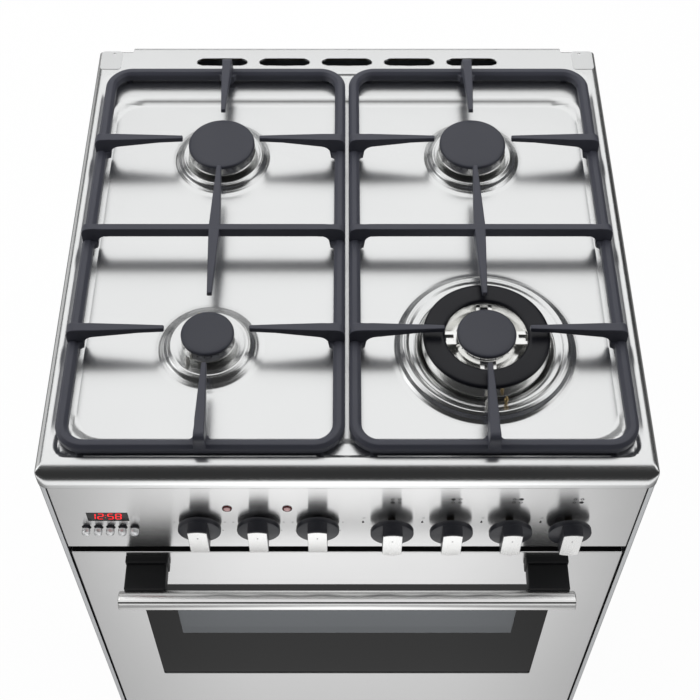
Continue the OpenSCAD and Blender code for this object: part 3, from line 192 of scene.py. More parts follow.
def folded(name, node, material, body, bends, radius):
    """A copy of a folded sheet whose outer bends are rounded.

    bends(points a, points b) tells, for the ends of every edge in mm, which edges are bends. The copy is
    merged first, since a solid's own mesh is loose triangles. Large faces stay flat, and the bends between
    them are smooth. The radius is in metres.
    """
    mesh = NODES[node].data.copy()
    mesh.transform(NODES[node].matrix_world)
    mesh.materials.clear()
    mesh.materials.append(material)
    work = bmesh.new()
    work.from_mesh(mesh)
    bmesh.ops.remove_doubles(work, verts=work.verts, dist=SAME_POINT)
    bmesh.ops.dissolve_limit(work, angle_limit=math.radians(0.5), verts=work.verts, edges=work.edges)
    ends = np.array([[v.co for v in edge.verts] for edge in work.edges], float) * 1000.0
    ends[:, :, 1] -= FRONT_Y * 1000
    chosen = [edge for edge, bend in zip(work.edges, bends(ends[:, 0], ends[:, 1])) if bend]
    bmesh.ops.bevel(work, geom=chosen, offset=radius, offset_type="OFFSET", segments=5, profile=0.5,
                    affect="EDGES", clamp_overlap=True)
    work.to_mesh(mesh)
    work.free()
    mesh.set_sharp_from_angle(angle=math.radians(38))
    # A face that lies along two axes and is larger than 20 square millimetres is one of the sheet's flats
    curved = [max(abs(v) for v in face.normal) < 0.9999 or face.area < 2e-5 for face in mesh.polygons]
    mesh.polygons.foreach_set("use_smooth", curved)
    piece = in_the_scene(name, mesh, body)
    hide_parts(node)
    return piece


def face_centres(mesh):
    """Middles of a mesh's faces in the millimetres of the builders."""
    middles = np.empty(len(mesh.polygons) * 3, np.float32)
    mesh.polygons.foreach_get("center", middles)
    middles = middles.reshape(-1, 3).astype(float) * 1000
    middles[:, 1] -= FRONT_Y * 1000
    return middles


def second_material(mesh, material, chosen):
    """Gives another material to the chosen faces."""
    mesh.materials.append(material)
    mesh.polygons.foreach_set("material_index", chosen.astype(np.int32))


def finish_node(names, material):
    """Gives a material to solids of the frame, whose meshes stay as they are."""
    for name in names:
        slots = NODES[name].data.materials
        slots.clear()
        slots.append(material)


# Materials

def new_material(name):
    """An empty node material."""
    material = bpy.data.materials.new(name)
    material.use_nodes = True
    material.node_tree.nodes.clear()
    return material


def add(owner, kind, links=None, **values):
    """Adds one node to a material or a world: values set its inputs or settings, links join sockets to it.

    set_x sets the node's own setting x, and in_3 the input number 3.
    """
    tree = owner.node_tree
    node = tree.nodes.new("ShaderNode" + kind)
    for key, value in values.items():
        if key.startswith("set_"):
            setattr(node, key[4:], value)
        else:
            node.inputs[key if not key.startswith("in_") else int(key[3:])].default_value = value
    for key, source in (links or {}).items():
        tree.links.new(source, node.inputs[key])
    return node


def object_pattern(material, size_mm, detail=2.0, kind="TexNoise"):
    """A pattern on Object coordinates, whose cells measure size_mm along x, y and z."""
    at = add(material, "TexCoord").outputs["Object"]
    repeats = tuple(1000.0 / size for size in np.broadcast_to(size_mm, 3))
    stretched = add(material, "Mapping", {"Vector": at}, Scale=repeats).outputs[0]
    if kind == "TexNoise":
        return add(material, kind, {"Vector": stretched}, Scale=1.0, Detail=detail, Roughness=0.6)
    return add(material, kind, {"Vector": stretched}, Scale=1.0)


def slow_gloss(material, size_mm, rough, spread, low=0.3, high=0.7, detail=2.0):
    """Roughness that wanders over size_mm, from rough - spread to rough + spread as the noise goes up."""
    cloud = object_pattern(material, size_mm, detail)
    level = add(material, "MapRange", {"Value": cloud.outputs[0]}, in_1=low, in_2=high, in_3=rough - spread,
                in_4=rough + spread)
    return level.outputs[0]


def grained_metal(name, colour, rough, spread, grain_mm, anisotropy=0.0):
    """Metal brushed one way: long fine scratches change roughness and height.

    A quarter turn of the anisotropy sets the long side of each highlight across the scratches.
    """
    m = new_material(name)
    scratch = object_pattern(m, grain_mm, detail=5.0)
    cloud = object_pattern(m, 111.1)
    mixed = add(m, "Math", {0: scratch.outputs[0], 1: cloud.outputs[0]}, set_operation="ADD")
    level = add(m, "MapRange", {"Value": mixed.outputs[0]}, in_1=0.6, in_2=1.4, in_3=rough - spread,
                in_4=rough + spread)
    raised = add(m, "Bump", {"Height": scratch.outputs[0]}, Strength=0.02, Distance=0.00006)
    shader = add(m, "BsdfPrincipled", {"Roughness": level.outputs[0], "Normal": raised.outputs[0]},
                 **{"Base Color": colour, "Metallic": 1.0, "Anisotropic": anisotropy,
                    "Anisotropic Rotation": 0.25})
    add(m, "OutputMaterial", {"Surface": shader.outputs[0]})
    return m


def satin_steel(name, colour, rough):
    """Stainless sheet after a fine blast: even and soft, with a slow change of gloss over a hand's width."""
    m = new_material(name)
    shader = add(m, "BsdfPrincipled", {"Roughness": slow_gloss(m, 142.9, rough, 0.015)},
                 **{"Base Color": colour, "Metallic": 1.0})
    add(m, "OutputMaterial", {"Surface": shader.outputs[0]})
    return m


def moulded(name, colour, rough, grit, grit_mm, coat=0.0, metallic=0.0, specular=0.5):
    """Moulded, painted, cast or enamelled surface: a faint grit in height and a slow change of gloss."""
    m = new_material(name)
    raised = add(m, "Bump", {"Height": object_pattern(m, grit_mm).outputs[0]}, Strength=grit, Distance=0.0001)
    level = slow_gloss(m, 71.43, rough, 0.05)
    shader = add(m, "BsdfPrincipled", {"Roughness": level, "Normal": raised.outputs[0]},
                 **{"Base Color": linear(colour), "Metallic": metallic, "Coat Weight": coat,
                    "Specular IOR Level": specular})
    add(m, "OutputMaterial", {"Surface": shader.outputs[0]})
    return m


def speckled(name, colour, dot, rough, dot_mm):
    """Vitreous enamel fired with pale specks: a cell pattern picks the dots."""
    m = new_material(name)
    cell = object_pattern(m, dot_mm, kind="TexVoronoi")
    mask = add(m, "MapRange", {"Value": cell.outputs["Distance"]}, in_1=0.12, in_2=0.2, in_3=1.0, in_4=0.0)
    tone = add(m, "Mix", {"Factor": mask.outputs[0]}, set_data_type="RGBA", in_6=linear(colour),
               in_7=linear(dot))
    shader = add(m, "BsdfPrincipled", {"Base Color": tone.outputs[2]},
                 **{"Roughness": rough, "Coat Weight": 0.4})
    add(m, "OutputMaterial", {"Surface": shader.outputs[0]})
    return m


def clear_glass(name, colour, alpha, rough):
    """Thin glass with a plain reflection and a faint wave: alpha lets what is behind it show."""
    m = new_material(name)
    wave = object_pattern(m, 166.7, detail=1.0)
    raised = add(m, "Bump", {"Height": wave.outputs[0]}, Strength=0.02, Distance=0.0004)
    shader = add(m, "BsdfPrincipled", {"Normal": raised.outputs[0]},
                 **{"Base Color": linear(colour), "Roughness": rough, "Alpha": alpha, "IOR": 1.52})
    add(m, "OutputMaterial", {"Surface": shader.outputs[0]})
    return m


def printed_glass(name, half_w, z_low, z_high):
    """Door glass with a fired black border, and a grey heat mirror where x and z are inside its sizes."""
    m = new_material(name)
    at = add(m, "SeparateXYZ", {0: add(m, "TexCoord").outputs["Object"]})
    side = add(m, "Math", {0: at.outputs[0]}, set_operation="ABSOLUTE")
    inside = add(m, "Math", {0: side.outputs[0]}, set_operation="LESS_THAN", in_1=half_w)
    above = add(m, "Math", {0: at.outputs[2]}, set_operation="GREATER_THAN", in_1=z_low)
    below = add(m, "Math", {0: at.outputs[2]}, set_operation="LESS_THAN", in_1=z_high)
    rows = add(m, "Math", {0: above.outputs[0], 1: below.outputs[0]}, set_operation="MULTIPLY")
    clear = add(m, "Math", {0: rows.outputs[0], 1: inside.outputs[0]}, set_operation="MULTIPLY")
    alpha = add(m, "MapRange", {"Value": clear.outputs[0]}, in_1=0.0, in_2=1.0, in_3=1.0, in_4=0.72)
    tone = add(m, "Mix", {"Factor": clear.outputs[0]}, set_data_type="RGBA", in_6=linear("#0B0B0C"),
               in_7=linear("#6E7276"))
    shader = add(m, "BsdfPrincipled", {"Alpha": alpha.outputs[0], "Metallic": clear.outputs[0],
                                       "Base Color": tone.outputs[2]},
                 **{"Roughness": 0.06, "Specular IOR Level": 0.07})
    add(m, "OutputMaterial", {"Surface": shader.outputs[0]})
    return m


def glowing(name, colour, strength):
    """Lit segments of the clock, with a slow change of gloss."""
    m = new_material(name)
    level = slow_gloss(m, 2.5, 0.4, 0.1, low=0.2, high=0.8, detail=1.0)
    shader = add(m, "BsdfPrincipled", {"Roughness": level},
                 **{"Base Color": linear(colour), "Emission Color": linear(colour),
                    "Emission Strength": strength})
    add(m, "OutputMaterial", {"Surface": shader.outputs[0]})
    return m


FINISH = {}


def make_finishes(look):
    """Every finish of the cooker, named for the real material.

    Real brushing is a few hundredths of a millimetre wide and real grit a tenth. Both are too fine to show,
    so brushing is drawn 0.6 mm wide, and grit 0.5 mm or coarser.
    """
    steel, satin = tuple(look.steel_colour) + (1.0,), tuple(look.hob_colour) + (1.0,)
    # Satin stainless of the pressed hob: broad soft reflections, and no grain that shows from a step away
    FINISH["hob"] = satin_steel("satin stainless steel, pressed", satin, 0.25)
    # The same sheet blasted a little more, so the plates at the rear corners look greyer than the hob
    FINISH["cover"] = satin_steel("satin stainless steel, corner plate", satin, 0.32)
    # Brushed stainless of fascia and door: grain runs across the cooker, so reflections are drawn out upwards
    FINISH["brushed"] = grained_metal("stainless steel, brushed", steel, 0.22, 0.04, (71.43, 0.625, 0.625),
                                      anisotropy=0.85)
    # Silver paint of the side panels: a soft grey sheen without a grain
    FINISH["paint"] = moulded("sheet steel, silver paint", "#E6E8EA", 0.34, 0.1, 0.6, metallic=0.85)
    # Zinc coated sheet of back, base and drawer box: duller than steel, with slow clouds
    FINISH["zinc"] = moulded("sheet steel, zinc coated", "#A2A5A8", 0.42, 0.05, 3.0, metallic=0.9)
    # Black enamelled sheet round the oven's mouth: almost black, softly glossy. The same black is painted
    # shade on the upper folds of door and drawer and on the floor of the handle's groove
    FINISH["frame"] = moulded("sheet steel, black enamel, also painted shade", "#0C0C0D", 0.4, 0.1, 1.5)
    # Speckled enamel of the oven: dark grey glaze with pale dots
    FINISH["cavity"] = speckled("sheet steel, speckled enamel", "#3A3C42", "#787A84", 0.28, 1.2)
    # Enamels of the burner caps: satin black, and a deeper black on the large ring
    FINISH["cap"] = moulded("steel, satin black enamel", "#4C4E59", 0.42, 0.3, 0.5)
    FINISH["ring cap"] = moulded("steel, deep black enamel", "#15161F", 0.36, 0.3, 0.5, specular=0.36)
    # Cast iron under matt enamel: the casting's grit breaks every highlight
    FINISH["iron"] = moulded("cast iron, matt black enamel", "#5A5C68", 0.46, 0.5, 1.0)
    # Blasted die casting of the burner heads: pale and bright between the dark caps
    FINISH["alloy"] = moulded("aluminium, die cast and blasted", "#F2F2F0", 0.2, 0.1, 0.5, metallic=1.0)
    # Pressed steel cups under the heads: a plain grey
    FINISH["cup"] = moulded("steel, pressed cup", "#8F8F8C", 0.4, 0.1, 0.8, metallic=1.0)
    # Turned brass of gas rail and thermocouples: warm and bright. The spindles get a darker brass as painted
    # shade where they sit behind the knobs.
    FINISH["brass"] = moulded("brass, turned", "#C9AE7C", 0.3, 0.1, 0.5, metallic=1.0)
    FINISH["brass_painted_shade"] = moulded("brass, turned, painted shade", "#4A443A", 0.4, 0.1, 0.5, metallic=1.0)
    # Moulded plastics: knobs with a satin face, duller brackets, and feet with a coarser grit. The knobs'
    # black is also painted shade on the necks and collars of the clock's buttons
    FINISH["knob"] = moulded("thermoset, moulded black, also painted shade", "#2B2C33", 0.36, 0.1, 0.5)
    FINISH["bracket"] = moulded("nylon, moulded black", "#101113", 0.55, 0.3, 0.6, specular=0.3)
    FINISH["foot"] = moulded("nylon, moulded black foot", "#1C1C1D", 0.5, 0.3, 0.8)
    # Satin metal of the knobs' plates, grained upwards, and of the handle, grained along the tube
    plate, tube = linear("#FBFBFA"), linear("#FAFAF9")
    FINISH["plate"] = grained_metal("aluminium plate, satin", plate, 0.26, 0.05, (0.66667, 0.66667, 16.667))
    FINISH["handle"] = grained_metal("stainless tube, satin", tube, 0.3, 0.03, (40.0, 0.66667, 0.66667))
    # Inside the body: matt wool, dark steel sheaths, braid and switch bodies that never shine
    FINISH["wool"] = moulded("mineral wool, needled", "#B8AA7E", 0.9, 1.0, 2.5)
    FINISH["element"] = moulded("steel sheathed element", "#4A4846", 0.45, 0.3, 0.6, metallic=0.8)
    FINISH["gasket"] = moulded("glass fibre braid", "#2A2A2A", 0.85, 1.0, 1.6)
    FINISH["switch"] = moulded("phenolic switch body, moulded", "#A08C66", 0.5, 0.2, 0.6)
    # Acrylic of lamps and clock: smooth and clear edged, pale lenses in deep red rims, and a gloss black face
    FINISH["lens"] = moulded("acrylic lens, pale red", "#F6C6C6", 0.2, 0.0, 1.0)
    FINISH["lens rim"] = moulded("acrylic lens, deep red", "#5A1418", 0.2, 0.0, 1.0, coat=0.4)
    FINISH["gloss"] = moulded("acrylic, gloss black", "#050506", 0.06, 0.0, 1.0, specular=0.3)
    # Glazed ceramic of the spark plugs: white with a sharp highlight
    FINISH["ceramic"] = moulded("alumina ceramic, glazed", "#F4F2EC", 0.2, 0.05, 0.5, coat=0.4)
    # Polished buttons and chromed wire: the brightest small metal of the cooker
    FINISH["button"] = moulded("button, polished steel", "#F4F5F6", 0.3, 0.0, 0.5, metallic=0.6)
    FINISH["chrome"] = moulded("steel wire, chrome plated", "#D8D9DA", 0.12, 0.0, 1.0, metallic=1.0)
    # Glass: the lamp's is a little cloudy, the inner pane nearly unseen, the outer one printed and mirrored
    FINISH["lamp"] = clear_glass("borosilicate lamp glass", "#F2F2EA", 0.7, 0.08)
    FINISH["inner glass"] = clear_glass("tempered glass, clear", "#C8D0D0", 0.2, 0.03)
    FINISH["door glass"] = printed_glass("tempered glass, printed border", look.clear_width / 2,
                                         look.clear_low, look.clear_high)
    # Red glow of the clock, and flat inks of the printed marks
    FINISH["digits"] = glowing("clock segments, lit", "#D8141C", 1.4)
    FINISH["print"] = moulded("screen print, black", "#161617", 0.5, 0.0, 1.0)
    FINISH["dot"] = moulded("screen print, grey", "#8E8E90", 0.5, 0.0, 1.0)


# Hob

BURNERS = {burner: tuple(spot(cap)[0][:2]) for burner, cap in (
    ("rear_left", "cap_rear_left"), ("rear_right", "cap_rear_right"),
    ("front_left", "cap_front_left"), ("front_right", "wok_centre_cap"))}
# Height of the pressed ring round a burner over the well, by distance from the burner's middle
MOUND = {
    "rear_left": [(32, 6.6), (36, 6.7), (41, 7.4), (43.5, 8), (46.5, 6.7), (50, 2.3), (54, 0.5), (58, 0)],
    "front_left": [(22, 6.2), (28, 6.3), (35, 7.2), (39, 8), (42.5, 6.8), (47, 2.6), (52, 0.6), (57, 0)],
    "front_right": [(58, 1), (62, 1.2), (67, 3.2), (71.5, 6), (74.5, 6.6), (77.5, 6.7), (81, 8.2), (84, 9),
                    (87, 7.4), (90, 2.6), (93, 0.5), (97, 0)],
}
MOUND["rear_right"] = MOUND["rear_left"]
# The sheet's outside, the drop of its hem, and the radii of its bead, nose, rear edge and front corners
HALF_W, DEPTH, SKIRT = 300.0, 600.0, 20.0
BEAD_R, NOSE_R, REAR_R, CORNER_R = 7.5, 18.0, 3.0, 12.0
# Deck and well: half width, front, rear and corner radius, then drop from the rim and half width of the slope
DECK, DECK_DROP, DECK_SLOPE = (283.0, 25.0, 554.0, 14.0), 3.0, 2.2
WELL, WELL_DROP, WELL_SLOPE = (273.0, 44.5, 513.0, 34.0), 8.0, 4.5
# Vents: distance of their middles, row behind the front, half length and half width
VENT_STEP, VENT_Y, VENT_LONG, VENT_WIDE = 75.0, 575.0, 30.0, 6.0
# The sheet is stepped in at its rear corners: from this x outwards and this y backwards, to this depth
STEP_X, STEP_Y, STEP_DEPTH = 258.0, 585.0, 8.5


def smooth_step(t):
    """0 below 0, 1 above 1, and 3 t squared less 2 t cubed between them."""
    t = np.clip(t, 0, 1)
    return t * t * (3 - 2 * t)


def eased(table, r):
    """Heights between the points of a table: 45 percent straight and 55 percent levelled at each point."""
    rs, zs = np.array(table, float).T
    k = np.clip(np.searchsorted(rs, r) - 1, 0, len(rs) - 2)
    t = np.clip((r - rs[k]) / (rs[k + 1] - rs[k]), 0, 1)
    return zs[k] + (zs[k + 1] - zs[k]) * (0.55 * smooth_step(t) + 0.45 * t)


def inside_distance(x, y, half_w, y0, y1, radius):
    """Signed distance from a rectangle with round corners, negative inside."""
    qx = np.abs(x) - (half_w - radius)
    qy = np.abs(y - (y0 + y1) / 2) - ((y1 - y0) / 2 - radius)
    outside = np.hypot(np.maximum(qx, 0), np.maximum(qy, 0))
    return outside + np.minimum(np.maximum(qx, qy), 0) - radius


def hob_height(x, y):
    """Height over the rim: slopes down to the deck and to the well, and a pressed ring round each burner."""
    t = (DECK_SLOPE - inside_distance(x, y, *DECK)) / (2 * DECK_SLOPE)
    z = -DECK_DROP * smooth_step(t)
    t = np.clip((WELL_SLOPE - inside_distance(x, y, *WELL)) / (2 * WELL_SLOPE), 0, 1)
    z -= (WELL_DROP - DECK_DROP) * (0.85 * t + 0.15 * smooth_step(t))
    for name, (bx, by) in BURNERS.items():
        r = np.hypot(x - bx, y - by)
        table = MOUND[name]
        z = np.where(r < table[-1][0], eased(table, np.maximum(r, table[0][0])) - WELL_DROP, z)
    return z


def bend_lines(middle, half):
    """Lines at a slope's middle and at both sides of its two bends."""
    return [middle - half - 0.1, middle - half + 0.1, middle, middle + half - 0.1, middle + half + 0.1]


def filled_lines(keys, spacing):
    """Grid lines through all keys with no gap wider than spacing."""
    keys = sorted(set(keys))
    lines = [np.linspace(a, b, max(1, math.ceil((b - a) / spacing)) + 1)[:-1] for a, b in zip(keys, keys[1:])]
    return np.concatenate(lines + [[keys[-1]]])


def edge_profile(radius, steps=9):
    """A rolled edge as (distance from the edge, height): hem, wall, and a quarter circle up to the crest."""
    t = np.linspace(math.pi, math.pi / 2, steps)
    arc = [(radius + radius * math.cos(a), -radius + radius * math.sin(a)) for a in t]
    return [(1.2, 0.6 - SKIRT), (1.2, -SKIRT), (0.4, -SKIRT), (0.0, 0.5 - SKIRT), (0.0, -radius - 0.5)] + arc


def ray_to_slot(theta, half_len, half_w):
    """Distance from the middle of a slot with round ends to its edge, along theta."""
    c, s = np.abs(np.cos(theta)), np.abs(np.sin(theta))
    straight = half_w / np.maximum(s, 1e-6)
    end = half_len - half_w
    b = c * end
    round_end = b + np.sqrt(np.maximum(b * b - end * end + half_w * half_w, 0))
    return np.where(straight * c <= end, straight, round_end)


def hob_holes():
    """Oblongs round the burners and vents: (x0, x1, y0, y1, middle, table of heights or None).

    An oblong leaves 4 mm or more beyond the last row of its burner's table or its vent's slot.
    """
    holes = []
    for name, (x, y) in BURNERS.items():
        half = 101.0 if name == "front_right" else 62.0
        holes.append((x - half, x + half, y - half, y + half, np.array([x, y]), MOUND[name]))
    for x in VENT_STEP * np.arange(-2, 3):
        wide = VENT_LONG + 4
        holes.append((x - wide, x + wide, VENT_Y - 9, VENT_Y + 9, np.array([x, VENT_Y]), None))
    return holes


def hob_lines(holes):
    """Lines across and along the sheet as rows of (place, highest level over the rim).

    The rolled edges are outside. Between them is a line at every bend and hole, finer where a slope turns a
    corner, and no gap is wider than 5 mm.
    """
    right = [STEP_X - 0.4, STEP_X + 0.4, 288.5] + list(np.arange(236.0, 268.0, 2.4))
    right += bend_lines(DECK[0], DECK_SLOPE) + bend_lines(WELL[0], WELL_SLOPE)
    x_keys = right + [-v for v in right] + [-291.0, 291.0]
    y_keys = [20.0, 595.0] + bend_lines(DECK[1], DECK_SLOPE) + bend_lines(DECK[2], DECK_SLOPE)
    y_keys += bend_lines(WELL[1], WELL_SLOPE) + bend_lines(WELL[2], WELL_SLOPE)
    for low, high, step in ((30.0, 39.0, 2.3), (51.0, 84.0, 2.4), (476.0, 507.0, 2.4), (520.0, 550.0, 2.4)):
        y_keys += list(np.arange(low, high, step))
    for x0, x1, y0, y1, _, _ in holes:
        x_keys += [x0, x1]
        y_keys += [y0, y1]
    side, nose, rear = edge_profile(BEAD_R), edge_profile(NOSE_R, 14), edge_profile(REAR_R, 5)
    xs = [(d - HALF_W, h) for d, h in side] + [(v, 0.0) for v in filled_lines(x_keys, 5.0)]
    xs += [(HALF_W - d, h) for d, h in side[::-1]]
    ys = nose + [(v, 0.0) for v in filled_lines(y_keys, 5.0)] + [(DEPTH - d, h) for d, h in rear[::-1]]
    return np.array(xs), np.array(ys)


def hob_surface(x, y, limit):
    """Points of the sheet over x and y, never higher over the rim than the limit of the rolled edges."""
    z = np.minimum(hob_height(x, y), limit)
    # Bead along each side: a half round ridge on the deck, which fades in over 45 mm at each end
    across = np.abs(np.abs(x) - (HALF_W - BEAD_R))
    bead = np.sqrt(np.maximum(BEAD_R ** 2 - across ** 2, 0)) - BEAD_R
    share = smooth_step(np.minimum(y - (DECK[1] - 1), DECK[2] + 1 - y) / 45)
    ridge = z + (np.minimum(np.maximum(bead, -DECK_DROP), limit) - z) * share
    z = np.where(np.abs(x) > DECK[0] - 2, ridge, z)
    # A square (u, v) is drawn in to a quarter circle at each front corner: u times the root of 1 - v v / 2
    u = np.clip((np.abs(x) - (HALF_W - CORNER_R)) / CORNER_R, 0, 1)
    v = np.clip((CORNER_R - y) / CORNER_R, 0, 1)
    corner = (u > 0) & (v > 0)
    moved_x = np.where(corner, np.sign(x) * (HALF_W - CORNER_R + CORNER_R * u * np.sqrt(1 - v * v / 2)), x)
    moved_y = np.where(corner, CORNER_R - CORNER_R * v * np.sqrt(1 - u * u / 2), y)
    back = (np.abs(x) > STEP_X) & (y > STEP_Y)
    moved_y = np.where(back, STEP_Y + (y - STEP_Y) * STEP_DEPTH / (DEPTH - STEP_Y), moved_y)
    return np.stack([moved_x, moved_y, z + RIM_Z], -1)


def lifted(plan, z):
    """Points (x, y) with one height or a height for each."""
    return np.column_stack([plan, np.broadcast_to(z, len(plan))])


def on_sheet(plan):
    """Points (x, y) raised to the sheet."""
    return lifted(plan, RIM_Z + hob_height(plan[:, 0], plan[:, 1]))


def hole_rows(theta, middle, table):
    """Rows round a hole from its lip outwards, at angles theta: slots for a vent, circles for a burner."""
    ray = np.stack([np.cos(theta), np.sin(theta)], -1)
    if table is None:
        slot = ray_to_slot(theta, VENT_LONG, VENT_WIDE)
        lip = ((0.3, -3.0), (0.0, -1.2), (0.25, -0.35), (0.9, -0.05), (1.5, 0.0))
        return [lifted(middle + ray * (slot + off)[:, None], RIM_Z + z) for off, z in lip]
    radii = [table[0][0]]
    for (inner, _), (outer, _) in zip(table, table[1:]):
        radii += list(np.linspace(inner, outer, 5)[1:])
    edge = RIM_Z - WELL_DROP + table[0][1]
    lip = [lifted(middle + ray * (radii[0] - off), edge - drop) for off, drop in ((0.2, 2.4), (0.4, 0.8))]
    return lip + [on_sheet(middle + ray * r) for r in radii]


def hole_border(xs, ys, x0, x1, y0, y1):
    """The grid's points on an oblong's edge, counter-clockwise from its front left corner."""
    lx = xs[(xs >= x0 - 1e-6) & (xs <= x1 + 1e-6)]
    ly = ys[(ys >= y0 - 1e-6) & (ys <= y1 + 1e-6)]
    sides = ((lx, np.full(len(lx), y0)), (np.full(len(ly), x1), ly), (lx[::-1], np.full(len(lx), y1)),
             (np.full(len(ly), x0), ly[::-1]))
    return np.concatenate([np.stack(side, -1)[:-1] for side in sides])


def hob_sheet():
    """The hob as one sheet: a grid of lines, open at each hole's oblong, which rows round the hole fill."""
    holes = hob_holes()
    xs, ys = hob_lines(holes)
    gx, gy = np.meshgrid(xs[:, 0], ys[:, 0], indexing="ij")
    points, quads = grid(hob_surface(gx, gy, np.minimum(xs[:, 1][:, None], ys[:, 1][None])))
    mid_x, mid_y = (gx[:-1, :-1] + gx[1:, 1:]) / 2, (gy[:-1, :-1] + gy[1:, 1:]) / 2
    keep = np.ones(mid_x.shape, bool)
    rings = []
    for x0, x1, y0, y1, middle, table in holes:
        keep &= ~((mid_x > x0) & (mid_x < x1) & (mid_y > y0) & (mid_y < y1))
        border = hole_border(xs[:, 0], ys[:, 0], x0, x1, y0, y1)
        rows = hole_rows(np.arctan2(border[:, 1] - middle[1], border[:, 0] - middle[0]), middle, table)
        last = rows[-1][:, :2]
        rows += [on_sheet(last + (border - last) * t) for t in (1 / 3, 2 / 3, 1.0)]
        p, q = grid(np.stack(rows), wrap_v=True)
        rings.append((p, q[:, ::-1]))
    return [(points, quads[keep.reshape(-1)])] + rings


def face_up(piece):
    """Turns an open sheet over where its faces, weighed by area, point down."""
    mesh = piece.data
    if sum(f.normal.z * f.area for f in mesh.polygons) < 0:
        mesh.flip_normals()


def cap_profile(radius, top):
    """Enamelled cap: level underside, rounded rim and a crown that is almost flat."""
    return [(0, 0.6), (radius - 8, 0.6), (radius - 7.6, 0.0), (radius - 0.9, 0.0), (radius - 0.2, 0.5),
            (radius, 1.3), (radius, top - 2.2), (radius - 0.35, top - 1.3), (radius - 1.2, top - 0.7),
            (radius - 2.6, top - 0.35), (radius - 5.5, top - 0.1), (radius - 9, top), (radius * 0.4, top),
            (0, top)]


# Pan supports

def octagon(width, height, bevel, soft=0.8, hold=0.5):
    """Octagonal section: each corner is three points of a small arc, with a hold point beyond each end.

    The hold points keep the shading of the flats level.
    """
    w, h, c = width, height, bevel
    corners = [(c, 0), (w - c, 0), (w, c), (w, h - c), (w - c, h), (c, h), (0, h - c), (0, c)]
    corners = np.array(corners, float)
    before = np.roll(corners, 1, 0) - corners
    after = np.roll(corners, -1, 0) - corners
    before /= np.linalg.norm(before, axis=1)[:, None]
    after /= np.linalg.norm(after, axis=1)[:, None]
    arc = [corners + (soft + hold) * before, corners + soft * before,
           corners + 0.25 * soft * (before + after), corners + soft * after, corners + (soft + hold) * after]
    return np.stack(arc, 1).reshape(-1, 2)


def frame_ring(x0, x1, y0, y1, z0, radius, width, height, bevel):
    """Octagonal bar carried round a rectangle with round corners; u runs inwards, v up."""
    section = octagon(width, height, bevel)
    outline, inward = [], []
    for k, (cx, cy) in enumerate(((x1 - radius, y1 - radius), (x0 + radius, y1 - radius),
                                  (x0 + radius, y0 + radius), (x1 - radius, y0 + radius))):
        t = math.pi / 2 * (k + np.linspace(0, 1, 16))
        n = np.stack([np.cos(t), np.sin(t)], -1)
        outline.append(np.array([cx, cy]) + radius * n)
        inward.append(-n)
    outline, inward = np.concatenate(outline), np.concatenate(inward)
    flat = outline[:, None] + inward[:, None] * section[None, :, 0, None]
    height_at = np.broadcast_to(section[None, :, 1, None] + z0, flat.shape[:2] + (1,))
    return grid(np.concatenate([flat, height_at], -1), wrap_u=True, wrap_v=True)


def finger(origin, direction, widths, tops, lows, corner=0.9, hold=0.45):
    """A cast arm along a line: round-cornered sections with a draft, at every place that a table names.

    widths, tops and lows are tables of (distance, value). A section narrows upwards by 0.09 of its height on
    each side, and its far end is cut square with a small bevel.
    """
    start, end = tops[0][0], tops[-1][0]
    along = {float(s) for table in (widths, tops, lows) for s, _ in table} | set(np.linspace(start, end, 24))
    along |= {end - 0.6}
    along = np.array(sorted(s for s in along if start <= s <= end))
    w, top, low = (np.interp(along, *np.array(table, float).T) for table in (widths, tops, lows))
    shrink = np.where(along > end - 0.3, 0.6, 0.0)
    w, top, low = w - 2 * shrink, top - shrink, low + shrink
    h = top - low
    outline, fixed = [], []
    for k, (su, sv) in enumerate(((1, 1), (-1, 1), (-1, -1), (1, -1))):
        t = math.pi / 2 * (k + np.array([0.0, 0.0, 0.33, 0.67, 1.0, 1.0]))
        slide = np.array([-hold, 0, 0, 0, 0, hold])
        fixed.append(np.stack([corner * (np.cos(t) - su) - slide * np.sin(t),
                               corner * (np.sin(t) - sv) + slide * np.cos(t)], -1))
        outline.append(np.tile([su, sv], (6, 1)))
    outline, fixed = np.concatenate(outline).astype(float), np.concatenate(fixed)
    u = outline[None, :, 0] * w[:, None] / 2 + fixed[None, :, 0]
    v = outline[None, :, 1] * h[:, None] / 2 + fixed[None, :, 1]
    draft = np.minimum(1.4, 0.09 * h)[:, None]
    u = u - np.clip(u / (w[:, None] / 2), -1, 1) * draft * (v / h[:, None] + 0.5)
    d = np.array(direction, float)
    side = np.array([-d[1], d[0]])
    flat = np.array(origin, float) + along[:, None, None] * d + u[..., None] * side
    z = (top + low)[:, None] / 2 + v
    return loft(np.concatenate([flat, z[..., None]], -1))


